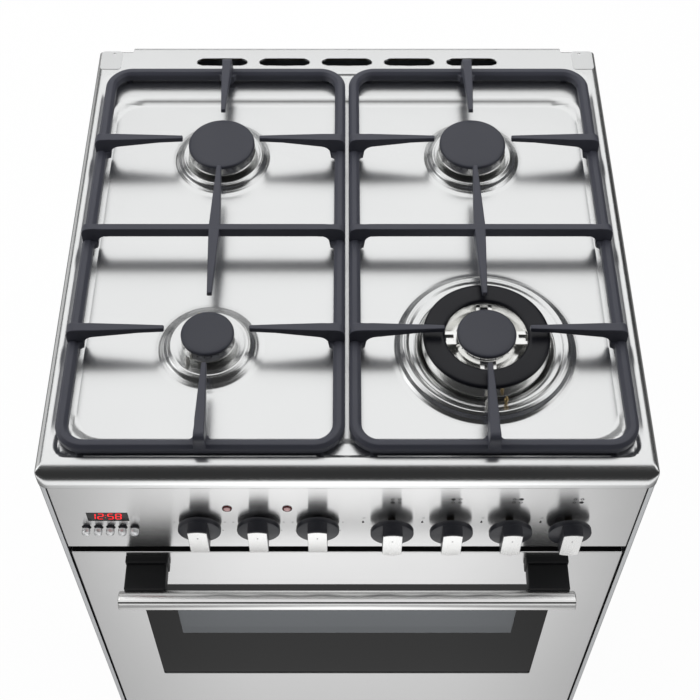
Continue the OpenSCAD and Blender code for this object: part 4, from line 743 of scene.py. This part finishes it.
def pan_support(sign):
    """Frame, crossbar and fingers of one pan support, worked out for the right; sign is -1 on the left.

    An arm's distances count from 1 mm outside the frame, and it ends at a clear reach from a burner's middle.
    """
    x0, x1, y0, y1, centre, reach = 2.0, 283.0, 26.0, 553.0, 141.0, 43.0
    z0 = RIM_Z - DECK_DROP + 1.6
    middle, size = spot("pan_support_right")
    low, top = z0 + 2, middle[2] + size[2] / 2
    rear, front = BURNERS["rear_right"][1], BURNERS["front_right"][1]
    halfway = (rear + front) / 2
    surfaces = [frame_ring(x0, x1, y0, y1, z0, 30, 12, 14, 3.5)]
    crown = [(1.5, top - 7), (1.8, top - 5.6), (2.3, top - 4.2), (3.1, top - 2.7), (4.2, top - 1.6),
             (5.5, top - 0.8), (7, top - 0.3), (9, top)]
    gusset = [(1.5, low), (17, low), (18.5, top - 17), (20, top - 14.6), (22, top - 12.6), (24.5, top - 11.3)]

    def root(x, y, dx, dy):
        """Fillet where an arm leaves the frame: its width shrinks with the distance, as in a casting."""
        table = np.array([(11.5, 22.5), (12.4, 21.6), (13.2, 19), (14.2, 16.9), (15.4, 15.4), (16.8, 14.2)])
        s = np.concatenate([table[:, 0], table[::-1, 0]])
        u = np.concatenate([table[:, 1] / 2, -table[::-1, 1] / 2])
        d, side = np.array([dx, dy], float), np.array([-dy, dx], float)
        outline = np.array([x, y]) + s[:, None] * d + u[:, None] * side
        surfaces.append(prism(outline, low + 1.0, z0 + 11.5, "z", 0.5))

    def arm(x, y, dx, dy, length):
        """Finger that narrows from 14 to 5.6 mm and dips at its root, with the root's fillet."""
        surfaces.append(finger((x, y), (dx, dy), [(0, 14), (length, 5.6)], crown + [(length, top)],
                               gusset + [(27, top - 10.6), (length - 26, top - 6), (length, top - 5.5)]))
        root(x, y, dx, dy)

    for y in (front, rear):
        arm(x0 - 1, y, 1, 0, centre - reach - (x0 - 1))
        arm(x1 + 1, y, -1, 0, x1 + 1 - centre - reach)
    arm(centre, y0 - 1, 0, 1, front - reach - (y0 - 1))
    arm(centre, y1 + 1, 0, -1, y1 + 1 - rear - reach)
    # The crossbar is one bar with a root at each end, and two short fingers leave its middle
    length = x1 + 1 - (x0 - 1)
    mirrored = [(length - s, z) for s, z in crown[::-1]]
    under = gusset + [(27, top - 11.3), (32, top - 11)]
    surfaces.append(finger((x0 - 1, halfway), (1, 0), [(0, 12), (16, 10), (length - 16, 10), (length, 12)],
                           crown + mirrored, under + [(length - s, z) for s, z in under[::-1]]))
    root(x0 - 1, halfway, 1, 0)
    root(x1 + 1, halfway, -1, 0)
    for dy, length in ((1, rear - reach - halfway), (-1, halfway - front - reach)):
        surfaces.append(finger((centre, halfway), (0, dy), [(3.5, 13.4), (length, 5.6)],
                               [(3.5, top), (length, top)],
                               [(3.5, top - 11), (length - 26, top - 6), (length, top - 5.5)]))
    # Round pads under the frame's corners stand on the deck
    pad = [(0, 0.3), (3.6, 0.3), (4, 0.8), (4, 3), (0, 3)]
    for x in (x0 + 24, x1 - 24):
        for y in (y0 + 6, y1 - 6):
            surfaces.append(revolve(pad, (x, y, RIM_Z - DECK_DROP), steps=20))
    if sign < 0:
        surfaces = [(p * np.array([-1, 1, 1]), q[:, ::-1]) for p, q in surfaces]
    return surfaces


# Settings

class CookerSettings(bpy.types.PropertyGroup):
    """Sizes, colours and lights that a user would change."""

    steel_colour: FloatVectorProperty(
        name="Brushed steel", description="Base colour of fascia, door and drawer", subtype="COLOR", size=3,
        min=0.0, max=1.0, default=linear("#E4E4E4")[:3])
    hob_colour: FloatVectorProperty(
        name="Satin steel", description="Base colour of the hob", subtype="COLOR", size=3,
        min=0.0, max=1.0, default=linear("#E7E8E8")[:3])
    fold_radius: FloatProperty(
        name="Fold radius", description="Radius of the outer folds of fascia, sides, door and drawer",
        subtype="DISTANCE", unit="LENGTH", min=0.0002, max=0.0018, default=0.0011)
    clear_width: FloatProperty(
        name="Clear width", description="Width of the door glass inside its printed border",
        subtype="DISTANCE", unit="LENGTH", min=0.1, max=0.46, default=0.39)
    clear_low: FloatProperty(
        name="Clear from", description="Height over the floor where the clear part of the door glass begins",
        subtype="DISTANCE", unit="LENGTH", min=0.38, max=0.66, default=0.517)
    clear_high: FloatProperty(
        name="Clear to", description="Height over the floor where the clear part of the door glass ends",
        subtype="DISTANCE", unit="LENGTH", min=0.38, max=0.66, default=0.615)
    clock_time: IntProperty(
        name="Clock time", description="Digits on the clock, as hours and minutes in one number",
        min=0, max=2359, default=1258)
    key_power: FloatProperty(
        name="Key light", description="Power of the large soft light over and behind the hob in watts",
        subtype="POWER", min=0.0, default=23.0)
    side_power: FloatProperty(
        name="Side lights", description="Power of the soft box on each side in watts",
        subtype="POWER", min=0.0, default=3.8)
    strip_power: FloatProperty(
        name="Front strip", description="Power of the strip light before the handle in watts",
        subtype="POWER", min=0.0, default=0.56)
    wall_power: FloatProperty(
        name="Wall light", description="Power of the soft light that stands behind the cooker in watts",
        subtype="POWER", min=0.0, default=24.0)
    floor_level: FloatProperty(
        name="Floor level", description="Brightness of the floor where polished steel mirrors it",
        min=0.0, max=2.0, default=1.28)
    world_level: FloatProperty(
        name="Room level", description="Strength of the plain room light", min=0.0, max=2.0, default=0.03)


def settings():
    """The scene's own copy of the settings."""
    return bpy.context.scene.range_cooker


# Operators

class COOKER_OT_finishes(bpy.types.Operator):
    """Makes the finishes and gives each solid its own"""

    bl_idname = "cooker.finishes"
    bl_label = "Finishes"

    def execute(self, context):
        make_finishes(settings())
        plan = {
            "cover": ["hinge_cover_plates"],
            "brushed": ["control_fascia", "door_panel", "drawer_front"],
            "paint": ["side_panel_left", "side_panel_right"],
            "zinc": ["back_panel", "base_tray", "drawer_box", "door_hinges", "fan_motor", "fan_wheel"],
            "frame": ["oven_front_frame"],
            "cavity": ["oven_cavity", "door_liner", "fan_baffle"],
            "wool": ["oven_insulation"],
            "element": ["oven_elements"],
            "lamp": ["oven_lamp"],
            "gasket": ["door_gasket"],
            "brass": ["gas_manifold"],
            "brass_painted_shade": [f"gas_spindle_{i}" for i in range(1, 5)],
            "cup": ["burner_cups"],
            "alloy": ["burner_heads"],
            "ceramic": ["ignition_electrodes"],
            "switch": ["oven_switches"],
            "gloss": ["clock_module"],
            "lens": ["indicator_lamps"],
            "foot": [f"foot_{a}_{b}" for a in ("front", "rear") for b in ("left", "right")],
            "bracket": ["handle_brackets"],
            "door glass": ["door_outer_glass"],
            "inner glass": ["door_inner_glass"],
            "chrome": ["wire_shelf"],
            "button": [f"clock_button_{i}" for i in range(1, 6)],
            "knob": [f"oven_knob_{i}" for i in range(1, 4)] + [f"gas_knob_{i}" for i in range(1, 5)],
            "cap": ["cap_rear_left", "cap_rear_right", "cap_front_left", "wok_centre_cap"],
            "ring cap": ["wok_ring_cap"],
            "iron": ["pan_support_left", "pan_support_right"],
            "hob": ["hob_top"],
            "handle": ["handle_bar"],
        }
        for finish, names in plan.items():
            finish_node(names, FINISH[finish])
        return {"FINISHED"}


class COOKER_OT_hob(bpy.types.Operator):
    """Pressed hob sheet with its bead, well, burner rings and vents, and the plates at its rear corners"""

    bl_idname = "cooker.hob"
    bl_label = "Hob"

    def execute(self, context):
        sheet = make_piece("hob_pressing", hob_sheet(), FINISH["hob"], "cooker", ["hob_top"], closed=False,
                           sharp=50)
        face_up(sheet)
        middle, size = spot("hinge_cover_plates")
        top = middle[2] + size[2] / 2
        plates = folded("corner_plates", "hinge_cover_plates", FINISH["cover"], "cooker",
                        lambda a, b: (a[:, 2] > top - 0.01) & (b[:, 2] > top - 0.01), 0.0005)
        return {"FINISHED"}


class COOKER_OT_electrodes(bpy.types.Operator):
    """Spark plug with its pin, and thermocouple, beside each burner"""

    bl_idname = "cooker.electrodes"
    bl_label = "Spark plugs and thermocouples"

    def execute(self, context):
        # Burner, distance from its middle, angles of plug and thermocouple, height, and foot below the rim
        plan = (("rear_left", 38.8, 52, 118, 6, 1.6), ("rear_right", 38.8, 52, 118, 6, 1.6),
                ("front_left", 30.8, -130, 110, 10, 1.6), ("front_right", 72.5, -92, -77, 14, 9.6))
        plugs, pins, couples = [], [], []
        for name, far, plug, couple, h, drop in plan:
            feet = []
            for angle in (plug, couple):
                a = math.radians(angle)
                feet.append((BURNERS[name][0] + far * math.cos(a), BURNERS[name][1] + far * math.sin(a),
                             RIM_Z - drop))
            ceramic = [(0, 0), (2.2, 0), (2.2, 0.55 * h), (1.8, 0.6 * h), (1.8, h - 0.6), (1.4, h), (0, h)]
            pin = [(0, h - 1), (0.7, h - 1), (0.7, h + 3.4), (0.4, h + 3.9), (0, h + 4)]
            sheath = [(0, 0), (2.2, 0), (2.2, 0.4 * h), (1.3, 0.45 * h), (1.3, 0.75 * h), (2.0, 0.78 * h),
                      (2.0, h), (1.0, h + 0.8), (0.9, h + 3.4), (0, h + 4)]
            plugs.append(revolve(ceramic, feet[0], steps=24))
            pins.append(revolve(pin, feet[0], steps=12))
            couples.append(revolve(sheath, feet[1], steps=24))
        piece = make_piece("spark_plug_ceramics", plugs, FINISH["ceramic"], "cooker", ["ignition_electrodes"])
        piece = make_piece("spark_plug_pins", pins, FINISH["chrome"], "cooker")
        piece = make_piece("thermocouples", couples, FINISH["brass"], "cooker")
        return {"FINISHED"}


class COOKER_OT_caps(bpy.types.Operator):
    """Enamelled burner caps with rounded rims"""

    bl_idname = "cooker.caps"
    bl_label = "Burner caps"

    def execute(self, context):
        thick = 5.0
        for name in ("cap_rear_left", "cap_rear_right", "cap_front_left", "wok_centre_cap"):
            (x, y, z), size = spot(name)
            cap = revolve(cap_profile(size[0] / 2, thick), (x, y, z + size[2] / 2 - thick), steps=96)
            piece = make_piece(name + "_enamelled", [cap], FINISH["cap"], name + "_body", [name])
        (x, y, z), size = spot("wok_ring_cap")
        profile = [(42, 1.0), (42.5, 0.2), (43.4, 0), (63.2, 0), (64.2, 0.4), (64.5, 1.2), (64.5, 2.6),
                   (64.1, 3.6), (63.0, 4.3), (61, 4.75), (58, 5), (47, 5), (44.4, 4.75), (42.9, 4.1),
                   (42.2, 3.2), (42, 2.2)]
        ring = revolve(profile, (x, y, z + size[2] / 2 - thick), steps=128, ring=True)
        piece = make_piece("wok_ring_cap_enamelled", [ring], FINISH["ring cap"], "wok_ring_cap_body",
                           ["wok_ring_cap"])
        return {"FINISHED"}


class COOKER_OT_supports(bpy.types.Operator):
    """Cast iron pan supports"""

    bl_idname = "cooker.supports"
    bl_label = "Pan supports"

    def execute(self, context):
        for side, sign in (("left", -1), ("right", 1)):
            piece = make_piece(f"pan_support_{side}_casting", pan_support(sign), FINISH["iron"],
                               f"{side}_support_body", [f"pan_support_{side}"], sharp=32)
        return {"FINISHED"}


class COOKER_OT_knobs(bpy.types.Operator):
    """Knobs: moulded skirt and grip with a silver plate on the grip's face"""

    bl_idname = "cooker.knobs"
    bl_label = "Knobs"

    def execute(self, context):
        for name in [f"oven_knob_{i}" for i in range(1, 4)] + [f"gas_knob_{i}" for i in range(1, 5)]:
            (x, y, z), size = spot(name)
            # The plate's face is in front, and the skirt's back is 18.4 mm behind it
            radius, front = size[0] / 2, y - size[1] / 2
            back = front + 18.4
            skirt = [(0, 0), (radius - 0.9, 0), (radius - 0.25, 0.3), (radius, 0.9), (radius, 4.9),
                     (radius - 0.25, 5.6), (radius - 0.9, 6), (0, 6)]
            # The grip is 20 mm wide, and its ends follow a circle 0.3 mm inside the skirt's
            half_turn = math.asin(10.0 / radius)
            arc = np.linspace(math.pi / 2 - half_turn, math.pi / 2 + half_turn, 13)
            upper = (radius - 0.3) * np.stack([np.cos(arc), np.sin(arc)], -1)
            outline = np.concatenate([upper, -upper])
            grip = prism(outline + np.array([x, z]), front + 1.2, back - 5.5, bevel=0.4)
            surfaces = [revolve(skirt, (x, back, z), "front", 72), grip]
            if name.startswith("oven"):
                # An oven knob sits on a shaft of its own, and a gas knob on its tap's spindle
                shaft = [(0, -18), (4, -18), (4, 0.5), (0, 0.5)]
                surfaces.append(revolve(shaft, (x, back, z), "front", 24))
            body = name + "_body"
            piece = make_piece(name + "_moulding", surfaces, FINISH["knob"], body, [name])
            face = prism(outline * 0.985 + np.array([x, z]), front, front + 1.1)
            plate = make_piece(name + "_plate", [face], FINISH["plate"], body)
            dot = revolve([(0, 0), (0.9, 0), (0.9, 0.1), (0, 0.1)], (x, front + 0.06, z + 9), "front", 16)
            mark = make_piece(name + "_mark", [dot], FINISH["dot"], body)
        return {"FINISHED"}


def glyph_bar(x0, z0, x1, z1, width, y):
    """A bar 0.05 mm thick between two points on the fascia, its ends pointed like a clock segment."""
    a, b = np.array([x0, z0], float), np.array([x1, z1], float)
    along = (b - a) / np.linalg.norm(b - a) * width / 2
    across = np.array([-along[1], along[0]])
    outline = [a, a + along - across, b - along - across, b, b - along + across, a + along + across]
    return prism(outline, y - 0.05, y, bevel=0.01)


# A digit's segments, and each segment's ends in half heights and widths of the digit: x, z, x, z
DIGITS = {"0": "abcdef", "1": "bc", "2": "abged", "3": "abgcd", "4": "fgbc", "5": "afgcd", "6": "afgedc",
          "7": "abc", "8": "abcdefg", "9": "abcdfg"}
SEGMENTS = {"a": (0, 2, 1, 2), "b": (1, 1, 1, 2), "c": (1, 0, 1, 1), "d": (0, 0, 1, 0), "e": (0, 0, 0, 1),
            "f": (0, 1, 0, 2), "g": (0, 1, 1, 1)}


class COOKER_OT_fascia(bpy.types.Operator):
    """Fascia and side panels with their folds, printed marks, clock face, buttons and lamps"""

    bl_idname = "cooker.fascia"
    bl_label = "Fascia"

    def execute(self, context):
        self.sheets()
        self.marks()
        self.clock()
        self.buttons()
        self.lamps()
        return {"FINISHED"}

    def sheets(self):
        """Fascia folded at its upper and lower front edge, and each side panel at its outer front edge."""
        fold = settings().fold_radius
        middle, size = spot("control_fascia")

        def at_the_front(a, b):
            """Edges whose ends both lie in the plane of the fascia's face."""
            return np.maximum(a[:, 1], b[:, 1]) < FASCIA_Y + 0.01

        def upper_or_lower(a, b):
            """Front edges whose ends are both half a height from the middle."""
            off = np.minimum(np.abs(a[:, 2] - middle[2]), np.abs(b[:, 2] - middle[2]))
            return at_the_front(a, b) & (off > size[2] / 2 - 0.01)

        piece = folded("fascia_sheet", "control_fascia", FINISH["brushed"], "cooker", upper_or_lower, fold)
        for side, sign in (("left", -1), ("right", 1)):
            panel, width = spot("side_panel_" + side)
            edge = panel[0] * sign + width[0] / 2

            def outer(a, b):
                """Front edges whose ends are both on the cooker's outside."""
                return at_the_front(a, b) & (np.minimum(a[:, 0] * sign, b[:, 0] * sign) > edge - 0.01)

            piece = folded(f"side_sheet_{side}", f"side_panel_{side}", FINISH["paint"], "cooker", outer, fold)

    def marks(self):
        """Burner diagrams and flames by the gas knobs, ticks round the oven knobs and over the buttons."""
        face = FASCIA_Y - 0.02
        marks = []
        t = np.linspace(0, 2 * math.pi, 24, endpoint=False)
        flame = np.stack([1.7 * np.sin(t) * np.sin(t / 2) ** 1.5, 2.6 * np.cos(t)], -1)
        disc = [(0.0, 0), (2.3, 0), (2.3, 0.05), (0.0, 0.05)]
        ring = [(1.0, 0), (1.9, 0), (1.9, 0.05), (1.0, 0.05)]
        # A diagram has a ring for each burner, and a disc for the burner of its knob
        for k, own in enumerate((2, 0, 1, 3)):
            (x, _, z), _ = spot(f"gas_knob_{k + 1}")
            for i, (dx, dz) in enumerate(((-3.5, 3.2), (3.5, 3.2), (-3.5, -3.2), (3.5, -3.2))):
                marks.append(revolve(disc if i == own else ring, (x + 3 + dx, face, z + 49 + dz), "front", 20,
                                     ring=i != own))
            marks.append(prism(flame + np.array([x - 29.5, z + 5.5]), face - 0.05, face, bevel=0.01))
            marks.append(glyph_bar(x - 30.3, z + 13.5, x - 27.0, z + 13.5, 0.6, face))
        for k in range(1, 4):
            (x, _, z), _ = spot(f"oven_knob_{k}")
            for a in range(-120, 121, 40):
                c, s = math.cos(math.radians(90 - a)), math.sin(math.radians(90 - a))
                marks.append(glyph_bar(x + 25.0 * c, z + 25.0 * s, x + 27.2 * c, z + 27.2 * s, 0.6, face))
        for k in range(1, 6):
            (x, _, z), _ = spot(f"clock_button_{k}")
            marks.append(glyph_bar(x - 1.6, z + 7.4, x + 1.6, z + 7.4, 0.6, face))
        piece = make_piece("printed_marks", marks, FINISH["print"], "cooker")

    def clock(self):
        """Seven-segment digits that lean a little, as on a plain cooker clock, with a colon."""
        # Half height and width of a digit, its lean per millimetre of height, and its foot over the buttons
        middle = spot("clock_button_3")[0]
        half, wide, lean, z0 = 5.4, 5.2, 0.12, middle[2] + 16.6
        y = FASCIA_Y + 0.36
        bars = []
        for k, digit in enumerate(f"{settings().clock_time:04d}"):
            x0 = middle[0] - 18.6 + k * 8.0 + (2.2 if k > 1 else 0)
            for name in DIGITS[digit]:
                u0, v0, u1, v1 = SEGMENTS[name]
                bars.append(glyph_bar(x0 + u0 * wide + v0 * lean * half, z0 + v0 * half,
                                      x0 + u1 * wide + v1 * lean * half, z0 + v1 * half, 1.3, y))
        for v in (0.55, 1.45):
            x, z = middle[0] - 3.0 + v * lean * half, z0 + v * half
            bars.append(glyph_bar(x, z - 0.7, x, z + 0.7, 1.3, y))
        piece = make_piece("clock_digits", bars, FINISH["digits"], "cooker")

    def buttons(self):
        """Domes of the clock's buttons, each on a neck with a collar behind the fascia, both black as painted
        shade.
        """
        dome = [(0, 3), (3.9, 3), (4.3, 3.3), (4.4, 4), (4.4, 6.4), (4.2, 7.6), (3.6, 8.6), (2.5, 9.3),
                (1.2, 9.5), (0, 9.5)]
        neck = [(0, -5), (3.4, -5), (3.4, 3.2), (0, 3.2)]
        collar = [(0, -2.7), (5.4, -2.7), (5.4, -1.5), (0, -1.5)]
        for k in range(1, 6):
            (x, _, z), _ = spot(f"clock_button_{k}")
            at, body = (x, FASCIA_Y, z), f"clock_button_{k}_body"
            piece = make_piece(f"clock_button_{k}_cap", [revolve(dome, at, "front", 32)], FINISH["button"],
                               body, [f"clock_button_{k}"])
            # Painted shade: neck and collar get the knobs' black, which darkens the ring between dome and
            # fascia
            dark = [revolve(profile, at, "front", 24) for profile in (neck, collar)]
            piece = make_piece(f"clock_button_{k}_neck", dark, FINISH["knob"], body)

    def lamps(self):
        """Domed lenses of the two lamps, each in a deep red rim."""
        lens = [(0, -10), (3.6, -10), (3.6, 0.6), (3.2, 1.4), (2.2, 2.0), (1.0, 2.3), (0, 2.35)]
        rim = [(3.65, -0.4), (4.9, -0.4), (4.98, 0.5), (4.7, 1.2), (4.1, 1.5), (3.65, 1.2)]
        middle, size = spot("indicator_lamps")
        off = size[0] / 2 - 5
        places = [(x, FASCIA_Y, middle[2]) for x in (middle[0] - off, middle[0] + off)]
        lenses = [revolve(lens, at, "front", 32) for at in places]
        rims = [revolve(rim, at, "front", 40, ring=True) for at in places]
        piece = make_piece("indicator_lenses", lenses, FINISH["lens"], "cooker", ["indicator_lamps"])
        piece = make_piece("indicator_rims", rims, FINISH["lens rim"], "cooker")


# The handle's groove in degrees: where it is, counted up from straight back, its half width and its wall
GROOVE_AT, GROOVE_HALF, GROOVE_WALL = 128.6, 5.2, 0.4


def handle_section(half_y, half_z):
    """The tube's ellipse (a cos t, b sin t), 13 percent nearer to its middle in the groove."""
    bends = GROOVE_AT + np.array([-6.0, -5.2, -4.8, -2.4, 2.4, 4.8, 5.2, 6.0])
    t = np.sort(np.concatenate([np.linspace(0, 2 * math.pi, 72, endpoint=False), np.radians(bends)]))
    off = np.abs(np.degrees(t) - GROOVE_AT)
    share = 1 - 0.13 * np.clip((GROOVE_HALF - off) / GROOVE_WALL, 0, 1)
    return np.stack([half_y * np.cos(t) * share, half_z * np.sin(t) * share], -1)


class COOKER_OT_door(bpy.types.Operator):
    """Door and drawer fronts with their folds, the handle tube with its groove, and its brackets"""

    bl_idname = "cooker.door"
    bl_label = "Door and drawer"

    def execute(self, context):
        self.sheets()
        self.handle()
        return {"FINISHED"}

    def sheets(self):
        """Door and drawer fronts folded round the front face, with painted shade on the upper fold: its top
        faces get the black finish.
        """
        for name, node, body in (("door_sheet", "door_panel", "door"),
                                 ("drawer_sheet", "drawer_front", "drawer")):
            middle, size = spot(node)
            front = middle[1] - size[1] / 2

            def outer(a, b):
                """Edges of the front face that lie within 2.1 mm of its outside, so its corners too."""
                flat = np.maximum(a[:, 1], b[:, 1]) < front + 0.01
                off = [np.maximum(np.abs(p[:, 0]) - size[0] / 2, np.abs(p[:, 2] - middle[2]) - size[2] / 2)
                       for p in (a, b)]
                return flat & (np.minimum(*off) > -2.1)

            piece = folded(name, node, FINISH["brushed"], body, outer, settings().fold_radius)
            mesh = piece.data
            normals = np.empty(len(mesh.polygons) * 3, np.float32)
            mesh.polygons.foreach_get("normal", normals)
            # Painted shade: the top faces, which lie in the gap under the fascia or the door, get the black
            # finish
            top = (normals[2::3] > 0.9) & (face_centres(mesh)[:, 2] > middle[2] + size[2] / 2 - 0.1)
            second_material(mesh, FINISH["frame"], top)

    def handle(self):
        """Oval tube with rounded ends and a groove whose floor is painted black as painted shade, and a
        moulded bracket near each end.
        """
        (_, y, z), size = spot("handle_bar")
        half = size[0] / 2
        section = handle_section(size[1] / 2, size[2] / 2)
        cuts = []
        for x, share in ((-half, 0.9), (0.5 - half, 0.965), (1.5 - half, 1.0), (half - 1.5, 1.0),
                         (half - 0.5, 0.965), (half, 0.9)):
            cuts.append(np.column_stack([np.full(len(section), x), section * share + np.array([y, z])]))
        piece = make_piece("handle_tube", [loft(np.stack(cuts))], FINISH["handle"], "door", ["handle_bar"])
        at = face_centres(piece.data)
        # Painted shade: the faces inside the groove get the black finish
        floor = (np.hypot(at[:, 1] - y, at[:, 2] - z) < 0.94 * size[2] / 2) & (np.abs(at[:, 0]) < half - 0.1)
        second_material(piece.data, FINISH["frame"], floor)
        # Boxes of a bracket: collar on the door, arm, and the neck between them
        parts = []
        for x in (26.5 - half, half - 26.5):
            parts.append(block((x - 22.5, -1.1, z - 12), (x + 22.5, 7.9, z + 12), 1.2))
            parts.append(block((x - 21.5, -31.5, z - 10.5), (x + 21.5, -1.6, z + 10), 2.0))
            parts.append(block((x - 20.5, -3, z - 9.5), (x + 20.5, 0, z + 9), 0.5))
        piece = make_piece("handle_bracket_mouldings", parts, FINISH["bracket"], "door", ["handle_brackets"])


class COOKER_OT_stage(bpy.types.Operator):
    """Plain pale floor, soft lights and the camera at the photograph's angle"""

    bl_idname = "cooker.stage"
    bl_label = "Stage"

    def execute(self, context):
        look = settings()
        self.floor(context, look)
        self.room(context, look)
        # Name, place, the point that it faces, width and height in metres, and power in watts
        lamps = (
            ("soft light over the hob", (0.0, 1.4, 2.6), (0.0, 1.4, 0.0), (2.6, 2.8), look.key_power),
            ("soft box, left", (-1.4, -0.1, 1.95), (0.0, 0.2, 0.9), (1.0, 1.2), look.side_power),
            ("soft box, right", (1.4, -0.1, 1.95), (0.0, 0.2, 0.9), (1.0, 1.2), look.side_power),
            ("soft wall behind", (0.0, 3.4, 1.3), (0.0, 0.0, 1.3), (5.2, 2.5), look.wall_power),
            ("soft wall at the left", (-3.6, 1.6, 1.8), (0, 1.6, 1.8), (4.4, 3.6), 1.2 * look.wall_power),
            ("soft strip over the handle", (0.0, FRONT_Y - 0.135, 0.8125), (0.0, FRONT_Y - 0.04, 0.713),
             (1.1, 0.23), look.strip_power),
        )
        for lamp in lamps:
            self.lamp(context, *lamp)
        # The photograph's camera, as the hob's corners gave it: it looks down, 35.43 degrees off the vertical
        eye = bpy.data.cameras.new("camera")
        eye.sensor_width = 36.0
        eye.lens = 67.77
        eye.shift_x = 0.0049
        eye.clip_start = 0.05
        camera = bpy.data.objects.new("camera", eye)
        camera.location = (-0.0005, FRONT_Y - 0.6264, 1.9917)
        camera.rotation_euler = (math.radians(35.43), 0.0, 0.0)
        context.scene.collection.objects.link(camera)
        context.scene.camera = camera
        context.scene.view_settings.view_transform = "Standard"
        return {"FINISHED"}

    def floor(self, context, look):
        """Square floor of 28 m."""
        mesh = bpy.data.meshes.new("floor")
        s = 14.0
        mesh.from_pydata([(-s, -s, 0), (s, -s, 0), (s, s, 0), (-s, s, 0)], [], [(0, 1, 2, 3)])
        mesh.materials.append(self.floor_material(look))
        ground = bpy.data.objects.new("floor", mesh)
        context.scene.collection.objects.link(ground)

    def floor_material(self, look):
        """Matt white floor, seen as a plain pale ground. For mirrored rays it glows as painted light,
        brightest where the cooker's front mirrors it.

        That glow is a painted pool of light that falls off from the middle to both sides, with painted shadow
        towards the cooker's front.
        """
        m = new_material("floor, matt white")
        ray = add(m, "LightPath")
        glossy = ray.outputs["Is Glossy Ray"]
        seen = add(m, "Math", {0: ray.outputs["Is Camera Ray"], 1: glossy}, set_operation="MAXIMUM")
        passed = ray.outputs["Is Transmission Ray"]
        seen = add(m, "Math", {0: seen.outputs[0], 1: passed}, set_operation="MAXIMUM")
        share = add(m, "Math", {0: seen.outputs[0]}, set_operation="MULTIPLY", in_1=0.9)
        at = add(m, "SeparateXYZ", {0: add(m, "TexCoord").outputs["Object"]})
        off = add(m, "Math", {0: at.outputs[0]}, set_operation="ABSOLUTE")
        # Painted pool of light for mirrored rays: brightest in the middle, weaker to both sides
        painted_light = add(m, "MapRange", {"Value": off.outputs[0]}, set_interpolation_type="SMOOTHSTEP", in_1=0.1,
                   in_2=0.75, in_3=look.floor_level, in_4=0.25 * look.floor_level)
        # Painted shadow: the glow weakens towards the cooker's front
        near = add(m, "MapRange", {"Value": at.outputs[1]}, set_interpolation_type="SMOOTHSTEP",
                   in_1=FRONT_Y - 0.42, in_2=FRONT_Y - 0.15, in_3=1.0, in_4=0.6)
        painted_light = add(m, "Math", {0: painted_light.outputs[0], 1: near.outputs[0]}, set_operation="MULTIPLY")
        level = add(m, "Mix", {0: glossy, 3: painted_light.outputs[0]}, set_data_type="FLOAT", in_2=1.06)
        matt = add(m, "BsdfDiffuse", Color=linear("#F4F4F4"))
        white = add(m, "Emission", {"Strength": level.outputs[0]}, Color=linear("#FFFFFF"))
        mixed = add(m, "MixShader", {0: share.outputs[0], 1: matt.outputs[0], 2: white.outputs[0]})
        add(m, "OutputMaterial", {"Surface": mixed.outputs[0]})
        return m

    def room(self, context, look):
        """World that lights weakly, and that the camera sees as plain white."""
        world = bpy.data.worlds.new("room")
        context.scene.world = world
        world.use_nodes = True
        world.node_tree.nodes.clear()
        ray = add(world, "LightPath")
        weak = add(world, "Background", Color=linear("#FFFFFF"), Strength=look.world_level)
        white = add(world, "Background", Color=linear("#FFFFFF"), Strength=1.0)
        camera = ray.outputs["Is Camera Ray"]
        mixed = add(world, "MixShader", {0: camera, 1: weak.outputs[0], 2: white.outputs[0]})
        add(world, "OutputWorld", {"Surface": mixed.outputs[0]})

    def lamp(self, context, name, at, towards, size, power):
        """Rectangular lamp that faces a point and isn't seen itself."""
        light = bpy.data.lights.new(name, "AREA")
        light.shape = "RECTANGLE"
        light.size, light.size_y = size
        light.energy = power
        lamp = bpy.data.objects.new(name, light)
        lamp.visible_camera = False
        lamp.location = at
        aim = Vector(towards) - Vector(at)
        lamp.rotation_euler = aim.to_track_quat("-Z", "Y").to_euler()
        context.scene.collection.objects.link(lamp)


class COOKER_PT_panel(bpy.types.Panel):
    """Lists the settings and the builders of the cooker"""

    bl_idname = "COOKER_PT_panel"
    bl_label = "Range Cooker"
    bl_space_type = "VIEW_3D"
    bl_region_type = "UI"
    bl_category = "Cooker"

    def draw(self, context):
        for key in CookerSettings.__annotations__:
            self.layout.prop(context.scene.range_cooker, key)
        for operator in OPERATORS:
            self.layout.operator(operator.bl_idname)


OPERATORS = (COOKER_OT_finishes, COOKER_OT_hob, COOKER_OT_electrodes, COOKER_OT_caps, COOKER_OT_supports,
             COOKER_OT_knobs, COOKER_OT_fascia, COOKER_OT_door, COOKER_OT_stage)
CLASSES = (CookerSettings,) + OPERATORS + (COOKER_PT_panel,)


def register():
    """Registers every class and gives each scene its settings."""
    for cls in CLASSES:
        bpy.utils.register_class(cls)
    bpy.types.Scene.range_cooker = PointerProperty(type=CookerSettings)


def unregister():
    """Takes the settings and every class away again."""
    del bpy.types.Scene.range_cooker
    for cls in reversed(CLASSES):
        bpy.utils.unregister_class(cls)


def main():
    """Registers the classes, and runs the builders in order."""
    register()
    bpy.ops.cooker.finishes()
    bpy.ops.cooker.hob()
    bpy.ops.cooker.electrodes()
    bpy.ops.cooker.caps()
    bpy.ops.cooker.supports()
    bpy.ops.cooker.knobs()
    bpy.ops.cooker.fascia()
    bpy.ops.cooker.door()
    bpy.ops.cooker.stage()


if __name__ == "__main__":
    main()
